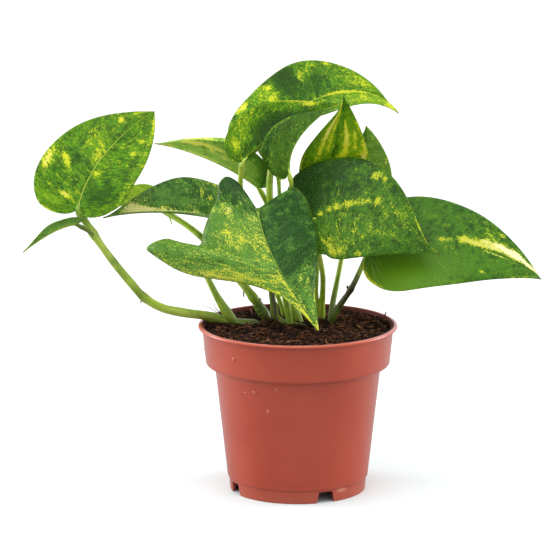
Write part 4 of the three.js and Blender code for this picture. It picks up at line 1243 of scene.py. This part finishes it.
def notch_cutter(turn):
    """A drainage notch in the foot ring: flared at the foot, with rounded upper corners."""
    half, foot, top, corner = NOTCH["top"] / 2, NOTCH["bottom"] / 2, NOTCH["height"], NOTCH["corner"]
    flare = foot + corner
    outline = [
        (-flare, -1), (flare, -1), (flare, 0), (foot - 0.1, corner), (half + 0.1, top - corner),
        (half - 0.25, top - 0.25), (half - corner, top), (corner - half, top),
        (0.25 - half, top - 0.25), (-half - 0.1, top - corner), (0.1 - foot, corner), (-flare, 0),
    ]
    return prism("notch", outline, POT["foot_end"] - 6, POT["foot_end"] + 3, turn)


def drain_cutter(turn):
    profile = [(0, 1), (DRAIN["radius"], 1), (DRAIN["radius"], 11), (0, 11)]
    hole = turned("drain", np.array(profile, float), DRAIN_SEGMENTS)
    move = Vector((math.cos(turn), math.sin(turn), 0)) * DRAIN["ring"] * MM
    hole.transform(Matrix.Translation(move))
    return hole


def pot_mesh():
    parts = [pot_body()]
    for i in range(NOTCH["count"]):
        parts.append(notch_cutter(math.radians(NOTCH["first"] + 360 * i / NOTCH["count"])))
        parts.append(drain_cutter(math.radians(DRAIN["first"] + 360 * i / DRAIN["count"])))
    mesh = smooth(joined_solids(parts, "DIFFERENCE"))
    mesh.name = "pot_shell"
    mesh.set_sharp_from_angle(angle=math.radians(40))
    return mesh


def wear_group():
    """Handling marks of moulded plastic: faint clouds, fine scratches and dust low down."""
    tree, enter, leave = new_group(
        "wear", [("Place", "Vector")], [("Cloud", "Float"), ("Scratch", "Float"), ("Fine", "Float")],
    )
    place = enter["Place"]
    cloud = noise(tree, place, 24, 4, 0.6, 0.3)
    upright = noise(tree, stretch(tree, place, (260, 260, 22)), 1, 3, 0.55)
    level = noise(tree, stretch(tree, place, (60, 60, 900)), 1, 3, 0.6)
    scratch = math_node(tree, "MULTIPLY", step(tree, upright, 0.6, 0.72), step(tree, level, 0.5, 0.7))
    fine = noise(tree, place, 2600, 2, 0.6)
    tree.links.new(cloud, leave["Cloud"])
    tree.links.new(scratch, leave["Scratch"])
    tree.links.new(fine, leave["Fine"])
    return tree


WEAR = wear_group()
INSIDE_LIP = (0.0576, 0.0584)  # distances from the axis between which the lip turns free of stain and painted shade
ABOVE_SOIL = (0.0985, 0.0995)  # heights between which the stained and shaded inside turns into the lip
SCUFF = dict(azimuth=-50.7, reach=41.5, height=6.6)
SCUFF_STRETCH = (0.6, 0.6, 1.6)


def stain_and_shade_mask(tree, place, height):
    """Where soil and water have stained the pot, with painted shade in its hollow: on its inside and
    inside its lip.
    """
    spoke = stretch(tree, vector_node(tree, "SUBTRACT", place, tuple(AXIS)), (1, 1, 0))
    facing = add(tree, "ShaderNodeTexCoord").outputs["Normal"]
    inner = step(tree, vector_node(tree, "LENGTH", spoke), *INSIDE_LIP, 1.0, 0.0)
    lip = math_node(tree, "MULTIPLY", step(tree, height, *ABOVE_SOIL), inner)
    inward = step(tree, vector_node(tree, "DOT_PRODUCT", spoke, facing), -0.03, -0.01, 1.0, 0.0)
    return math_node(tree, "MAXIMUM", lip, inward)


def scuff_mask(tree, place, fine):
    """A rubbed spot on the foot ring."""
    turn = math.radians(SCUFF["azimuth"])
    spot = SCUFF["reach"] * math.cos(turn), SCUFF["reach"] * math.sin(turn), SCUFF["height"]
    spot = (AXIS + np.multiply(spot, MM)) * SCUFF_STRETCH
    near = vector_node(tree, "DISTANCE", stretch(tree, place, SCUFF_STRETCH), tuple(spot))
    return math_node(tree, "MULTIPLY", step(tree, near, 0.001, 0.003, 1.0, 0.0),
                     step(tree, fine, 0.4, 0.55, 0.15, 0.6))


def terracotta_plastic():
    material, tree, shader = new_material(
        "terracotta_plastic", specular_ior_level=0.3, coat_roughness=0.22,
    )
    place = own_place(tree)
    wear = use_group(tree, WEAR, {"Place": place})
    height = height_of(tree, place)
    stain_and_shade = stain_and_shade_mask(tree, place, height)
    layers = (
        (math_node(tree, "MULTIPLY", wear["Scratch"], 0.16), rgb(214, 132, 108)),
        # painted highlight: the top of the lip turns a brighter orange
        (step(tree, height, 0.0992, 0.1, 0.0, 0.35), rgb(206, 84, 50)),
        # soil stain and painted shade: the inside and the inside of the lip turn nearly black-red
        (math_node(tree, "MULTIPLY", stain_and_shade, 0.92), rgb(66, 20, 12)),
        (scuff_mask(tree, place, wear["Fine"]), rgb(226, 168, 136)),
        (math_node(tree, "MULTIPLY", step(tree, height, 0.0, 0.012, 0.22, 0.0), wear["Cloud"]),
         rgb(204, 160, 140)),
    )
    colour = mix(tree, step(tree, wear["Cloud"], 0.35, 0.68), rgb(168, 60, 34), rgb(176, 67, 40))
    tree.links.new(layered(tree, colour, layers), shader.inputs["Base Color"])
    rough = step(tree, wear["Cloud"], 0.3, 0.7, 0.4, 0.48)
    rough = math_node(tree, "ADD", rough, math_node(tree, "MULTIPLY", wear["Scratch"], 0.12))
    rough = math_node(tree, "MULTIPLY_ADD", stain_and_shade, 0.4, rough)
    tree.links.new(rough, shader.inputs["Roughness"])
    tree.links.new(step(tree, stain_and_shade, 0.0, 1.0, 0.85, 0.0), shader.inputs["Coat Weight"])
    bump(tree, shader, 0.1, 0.0001, wear["Fine"])
    return material


finish_piece(pot_mesh(), terracotta_plastic(), "pot", "pot")

# ---------------------------------------------------------------- water drops on the pot
# azimuth and height on the wall, half width, half height
DROPS = [
    (-179, 86, 0.75, 0.9), (-132.3, 89.1, 1.3, 1.6), (-129.2, 67.9, 0.75, 0.75),
    (-121.7, 68.9, 1.25, 1.05), (-104.8, 72.2, 1.05, 1.3), (-100.5, 72.5, 0.5, 0.3),
    (-111.8, 57.9, 1.0, 1.4), (-35.7, 98.2, 0.45, 0.35), (-146.9, 74.2, 0.5, 0.4),
]
DROP_SUNK = 0.05  # how far a drop's middle lies inside the wall
DROP_SAG = 0.22  # how much fuller it is at its foot


def wall_radius(z):
    """The pot's outer radius at a height."""
    heights = [POT["foot_height"] + POT["foot_step"], POT["body_high"], POT["band_low"],
               POT["height"] - POT["lip_height"]]
    radii = [POT["body_foot"], POT["body_top"], POT["band_foot"], POT["band_top"]]
    return float(np.interp(z, heights, radii))


def make_drops():
    everything = bmesh.new()
    for azimuth, height, wide, tall in DROPS:
        turn = math.radians(azimuth)
        out = Vector((math.cos(turn), math.sin(turn), 0))
        centre = out * (wall_radius(height) - DROP_SUNK) + Vector((0, 0, height))
        made = bmesh.ops.create_uvsphere(everything, u_segments=20, v_segments=12, radius=1)
        sideways = Vector((-out.y, out.x, 0))
        for vertex in made["verts"]:
            p = vertex.co.copy()
            sag = 1 + DROP_SAG * max(0, -p.z)
            place = centre + out * (p.x * 0.5 * wide * sag) + sideways * (p.y * wide * sag)
            place = place + Vector((0, 0, p.z * tall))
            vertex.co = place * MM + Vector(AXIS)
    bmesh.ops.recalc_face_normals(everything, faces=everything.faces)
    mesh = bpy.data.meshes.new("water_drops")
    everything.to_mesh(mesh)
    everything.free()
    material, _, shader = new_material(
        "water", roughness=0.06, ior=1.33, transmission_weight=0.4, specular_ior_level=0.6,
    )
    # painted light: the clear drops are given a lighter pot orange in place of the lit pot seen through
    # them
    shader.inputs["Base Color"].default_value = rgb(224, 124, 98)
    finish_piece(smooth(mesh), material, "pot")


make_drops()

# ---------------------------------------------------------------- soil
SOIL = dict(edge=97, crown=99.8, lump=0.7, bank=1.6, top=100.6, gap=0.35)
SOIL_RINGS = 84
SOIL_SEGMENTS = 260


def soil_height(x, y):
    reach = math.hypot(x, y) / POT["band_top"]
    mound = SOIL["edge"] + (SOIL["crown"] - SOIL["edge"]) * (1 - reach**2)
    mound += SOIL["bank"] * min(1, max(0, (reach - 0.6) / 0.3))
    wave = SOIL["lump"] * math.sin(0.23 * x + 1.1) * math.cos(0.27 * y - 0.4 + 0.05 * x)
    rough = turbulence(Vector((x / 7, y / 7, 0.3)), 4, False)
    clods = noise_at(Vector((x / 3.1, y / 3.1, 4.0)))
    return mound + wave + 1.5 * (rough - 0.35) + 0.7 * clods


def soil_top():
    """Rings of points on the soil's lumpy surface."""
    rim = POT["band_top"] - POT["wall"] - SOIL["gap"]
    turn = np.linspace(0, 2 * math.pi, SOIL_SEGMENTS, endpoint=False)
    points = [(0, 0, soil_height(0, 0))]
    for i in range(1, SOIL_RINGS + 1):
        r = rim * i / SOIL_RINGS
        for angle in turn:
            x, y = r * math.cos(angle), r * math.sin(angle)
            points.append((x, y, min(soil_height(x, y), SOIL["top"])))
    faces = []
    for j in range(SOIL_SEGMENTS):
        k = (j + 1) % SOIL_SEGMENTS
        faces.append([0, 1 + j, 1 + k])
        for i in range(SOIL_RINGS - 1):
            a, b = 1 + i * SOIL_SEGMENTS, 1 + (i + 1) * SOIL_SEGMENTS
            faces.append([a + j, b + j, b + k, a + k])
    return points, faces


def soil_meshes():
    """The root ball, closed down to the pot's floor, and its surface alone to strew litter on."""
    points, faces = soil_top()
    surface = new_mesh("soil_surface", points, faces)
    side = [corner[:2] for corner in cavity(SOIL["gap"])[:-1]][::-1]
    rim = 1 + (SOIL_RINGS - 1) * SOIL_SEGMENTS
    for radius, height in side:
        start = len(points)
        for j in range(SOIL_SEGMENTS):
            angle = 2 * math.pi * j / SOIL_SEGMENTS
            points.append((radius * math.cos(angle), radius * math.sin(angle), height))
        for j in range(SOIL_SEGMENTS):
            k = (j + 1) % SOIL_SEGMENTS
            faces.append([rim + j, start + j, start + k, rim + k])
        rim = start
    points.append((0, 0, side[-1][1]))
    for j in range(SOIL_SEGMENTS):
        faces.append([rim + j, len(points) - 1, rim + (j + 1) % SOIL_SEGMENTS])
    return smooth(new_mesh("root_ball", points, faces)), surface


def peat(name, dark, light, rough_scale, roughness=0.9):
    """Damp soil colours that change from grain to grain."""
    material, tree, shader = new_material(name, specular_ior_level=0.12, roughness=roughness)
    place = own_place(tree)
    grain = noise(tree, place, rough_scale, 4, 0.7)
    clods = noise(tree, place, 130, 3, 0.6)
    mask = math_node(tree, "ADD", math_node(tree, "MULTIPLY", grain, 0.6),
                     math_node(tree, "MULTIPLY", clods, 0.4))
    tree.links.new(mix(tree, step(tree, mask, 0.42, 0.62), dark, light), shader.inputs["Base Color"])
    bump(tree, shader, 0.9, 0.0006, grain)
    return material


LITTER_INPUTS = (
    ("Per square metre", "Float", 1.0), ("Least size", "Float", 1.0), ("Most size", "Float", 1.0),
    ("Tilt", "Float", 3.14), ("Roughness", "Float", 0.0), ("Reach", "Float", 0.05),
    ("Seed", "Int", 1),
)


def litter_sockets(tree):
    tree.interface.new_socket("Surface", in_out="INPUT", socket_type="NodeSocketGeometry")
    for label, kind, value in LITTER_INPUTS:
        socket = tree.interface.new_socket(label, in_out="INPUT", socket_type="NodeSocket" + kind)
        socket.default_value = value
    tree.interface.new_socket("Litter", in_out="OUTPUT", socket_type="NodeSocketGeometry")


def strewn_points(tree, enter):
    """Points by chance on the surface, within reach of the pot's axis."""
    spot = add(tree, "GeometryNodeInputPosition").outputs[0]
    away = vector_node(tree, "DISTANCE", stretch(tree, spot, (1, 1, 0)), tuple(AXIS))
    within = math_node(tree, "LESS_THAN", away, enter["Reach"])
    return add(tree, "GeometryNodeDistributePointsOnFaces", {
        "Mesh": enter["Surface"], "Density": enter["Per square metre"], "Seed": enter["Seed"],
        "Selection": within,
    }).outputs["Points"]


def crumpled(tree, geometry, amount):
    """The litter with every corner shifted a little by chance."""
    where = add(tree, "GeometryNodeInputPosition").outputs[0]
    crumple = add(tree, "ShaderNodeTexNoise", {"Vector": where, "Scale": 700.0, "Detail": 2.0})
    centred = vector_node(tree, "SUBTRACT", crumple.outputs["Color"], (0.5, 0.5, 0.5))
    shift = add(tree, "ShaderNodeVectorMath", {0: centred, "Scale": amount}, operation="SCALE")
    return add(tree, "GeometryNodeSetPosition", {
        "Geometry": geometry, "Offset": shift.outputs[0],
    }).outputs[0]


def litter_tree(name, shape, material):
    """Scatters a small shape over a surface, each one turned, sized and roughened by chance."""
    tree = bpy.data.node_groups.new(name, "GeometryNodeTree")
    litter_sockets(tree)
    enter = tree.nodes.new("NodeGroupInput").outputs
    leave = tree.nodes.new("NodeGroupOutput").inputs
    tilt = add(tree, "ShaderNodeCombineXYZ", {0: enter["Tilt"], 1: enter["Tilt"], 2: math.pi})
    lean = stretch(tree, tilt.outputs[0], (-1, -1, -1))
    turn = add(tree, "FunctionNodeRandomValue", {
        0: lean, 1: tilt.outputs[0], "Seed": enter["Seed"],
    }, data_type="FLOAT_VECTOR")
    size = add(tree, "FunctionNodeRandomValue", {
        2: enter["Least size"], 3: enter["Most size"], "Seed": enter["Seed"],
    }, data_type="FLOAT")
    strewn = add(tree, "GeometryNodeInstanceOnPoints", {
        "Points": strewn_points(tree, enter), "Instance": shape(tree),
        "Rotation": turn.outputs[0], "Scale": size.outputs[1],
    })
    real = add(tree, "GeometryNodeRealizeInstances", {0: strewn.outputs[0]})
    rough = crumpled(tree, real.outputs[0], enter["Roughness"])
    done = add(tree, "GeometryNodeSetMaterial", {"Geometry": rough, "Material": material})
    tree.links.new(done.outputs[0], leave[0])
    return tree


def grain_shape(detail):
    def build(tree):
        return add(tree, "GeometryNodeMeshIcoSphere", {"Radius": 1.0, "Subdivisions": detail}).outputs[0]
    return build


def chip_shape(tree):
    block = add(tree, "GeometryNodeMeshCube", {
        "Size": (2.6, 1.2, 0.5), "Vertices X": 4, "Vertices Y": 3, "Vertices Z": 2,
    })
    return block.outputs[0]


def fibre_shape(tree):
    thread = add(tree, "GeometryNodeCurveQuadraticBezier", {
        "Resolution": 7, "Start": (-6.0, 0.0, 0.0), "Middle": (0.5, 3.2, 1.6), "End": (6.0, -0.6, 0.4),
    })
    section = add(tree, "GeometryNodeCurvePrimitiveCircle", {"Resolution": 5, "Radius": 0.36})
    pipe = add(tree, "GeometryNodeCurveToMesh", {
        "Curve": thread.outputs[0], "Profile Curve": section.outputs[0], "Fill Caps": True,
    })
    return pipe.outputs[0]


def strew(name, surface, heap, material):
    """A mesh of litter over the soil."""
    tree = litter_tree(name, heap["shape"], material)
    piece = bpy.data.objects.new(name, surface)
    bpy.context.scene.collection.objects.link(piece)
    modifier = piece.modifiers.new("strew", "NODES")
    modifier.node_group = tree
    for item in tree.interface.items_tree:
        key = item.name.lower().replace(" ", "_")
        if item.in_out == "INPUT" and key in heap:
            modifier[item.identifier] = heap[key]
    graph = bpy.context.evaluated_depsgraph_get()
    mesh = bpy.data.meshes.new_from_object(piece.evaluated_get(graph))
    bpy.data.objects.remove(piece)
    mesh.name = name
    return mesh


# Root hairs and splinters that stand up from the soil: route and radius at each end.
ROOTLETS = [
    ([(-44, 20, 98.5), (-49, 20, 103.6), (-53, 20, 106.4), (-57.3, 20, 108)], (0.3, 0.14)),
    ([(-45, 21, 98), (-47, 20, 103.5), (-49.5, 20, 106), (-50.5, 20, 109.2)], (0.45, 0.16)),
    ([(-43, 22, 98), (-45.5, 22, 102.5), (-47, 22, 104.6)], (1.0, 0.3)),
    ([(49.5, 9, 98), (52, 10, 103), (53.4, 10, 106.4)], (1.3, 0.25)),
    ([(50, 9, 100.5), (52.5, 9, 102.4), (54.6, 8, 103.2)], (0.8, 0.2)),
    ([(24, 8, 99), (24.6, 8, 104.6), (27, 8, 104.4), (28.4, 7, 101.5), (27, 6, 98.8)], (0.35, 0.3)),
    ([(-2, -38, 98), (0, -40, 101.4), (5, -41, 101.8), (9, -39, 99.5)], (0.4, 0.25)),
    ([(36, 18, 98.5), (39, 17, 102), (43, 18, 102.4), (46, 19, 100)], (0.5, 0.3)),
    ([(-30, -22, 98), (-27, -24, 101), (-22, -24, 101.3), (-19, -22, 99)], (0.45, 0.25)),
]


# Loose litter from the finest to the coarsest, in metres.
HEAPS = {
    "crumbs": dict(
        shape=grain_shape(1), finish="crumb", per_square_metre=480000.0, least_size=0.00025,
        most_size=0.0012, roughness=0.0009, reach=0.0548, seed=3,
    ),
    "lumps": dict(
        shape=grain_shape(2), finish="crumb", per_square_metre=52000.0, least_size=0.0008,
        most_size=0.0023, roughness=0.0026, reach=0.0535, seed=11,
    ),
    "bark_chips": dict(
        shape=chip_shape, finish="bark", per_square_metre=42000.0, least_size=0.0006,
        most_size=0.0017, roughness=0.0012, tilt=0.5, reach=0.053, seed=5,
    ),
    "fibres": dict(
        shape=fibre_shape, finish="bark", per_square_metre=120000.0, least_size=0.0003,
        most_size=0.001, roughness=0.0015, tilt=0.5, reach=0.0515, seed=7,
    ),
    "straws": dict(
        shape=fibre_shape, finish="straw", per_square_metre=26000.0, least_size=0.0002,
        most_size=0.0009, roughness=0.0012, tilt=0.5, reach=0.053, seed=13,
    ),
}


def make_soil():
    ball, surface = soil_meshes()
    finish_piece(ball, peat("peat", rgb(18, 10, 7), rgb(44, 27, 18), 800), "soil", "soil")
    finishes = {
        "crumb": peat("crumb", rgb(16, 9, 6), rgb(62, 38, 25), 420),
        "bark": peat("bark", rgb(26, 14, 9), rgb(124, 80, 52), 300),
        "straw": peat("straw", rgb(84, 52, 34), rgb(164, 116, 78), 240, 0.75),
    }
    rootlets = joined_solids([tapered("rootlet", *rootlet) for rootlet in ROOTLETS])
    rootlets.name = "rootlets"
    finish_piece(rootlets, finishes["bark"], "soil")
    for name, heap in HEAPS.items():
        finish = finishes[heap["finish"]]
        finish_piece(strew(name, surface, heap, finish), finish, "soil")
    bpy.data.meshes.remove(surface)


make_soil()

# ---------------------------------------------------------------- floor and light
FLOOR_HALF = 9.0
FLOOR_NEAR = (0.775, 0.85, 0.858, 1)  # takes up the warm glow that the pot throws on it
FLOOR_FAR = (0.86, 0.86, 0.86, 1)
FLOOR_TO_LIGHT = (0.36, 0.36, 0.36, 1)
WORLD_STRENGTH = 1.15


def make_floor():
    """A plain pale floor, that looks paler than the light it throws back on the plant."""
    reach = FLOOR_HALF
    mesh = bpy.data.meshes.new("floor")
    corners = [(-reach, -reach, 0), (reach, -reach, 0), (reach, reach, 0), (-reach, reach, 0)]
    mesh.from_pydata(corners, [], [(0, 1, 2, 3)])
    material, tree, shader = new_material("floor", roughness=0.9, specular_ior_level=0.1)
    seen = add(tree, "ShaderNodeLightPath").outputs["Is Camera Ray"]
    away = vector_node(tree, "LENGTH", own_place(tree))
    near = mix(tree, step(tree, away, 0.08, 0.4), FLOOR_NEAR, FLOOR_FAR)
    tree.links.new(mix(tree, seen, FLOOR_TO_LIGHT, near), shader.inputs["Base Color"])
    mesh.materials.append(material)
    floor = bpy.data.objects.new("floor", mesh)
    bpy.context.scene.collection.objects.link(floor)


def make_light(name, place, size, energy, aim=(0, 0, 0.12)):
    data = bpy.data.lights.new(name, "AREA")
    data.shape = "DISK"
    data.size = size
    data.energy = energy
    light = bpy.data.objects.new(name, data)
    light.location = place
    light.rotation_euler = (Vector(place) - Vector(aim)).to_track_quat("Z", "Y").to_euler()
    bpy.context.scene.collection.objects.link(light)


def make_world():
    world = bpy.data.worlds.new("studio")
    world.use_nodes = True
    sky = world.node_tree.nodes["Background"]
    sky.inputs["Color"].default_value = (1, 1, 1, 1)
    sky.inputs["Strength"].default_value = WORLD_STRENGTH
    bpy.context.scene.world = world


make_floor()
make_world()
make_light("key", (-0.35, -0.8, 2.1), 2.2, 18)
make_light("left", (-1.4, 0.35, 0.3), 0.7, 15, (0, 0, 0.08))
make_light("right", (1.4, 0.35, 0.3), 0.7, 14, (0, 0, 0.08))
bpy.context.scene.view_settings.view_transform = "Standard"
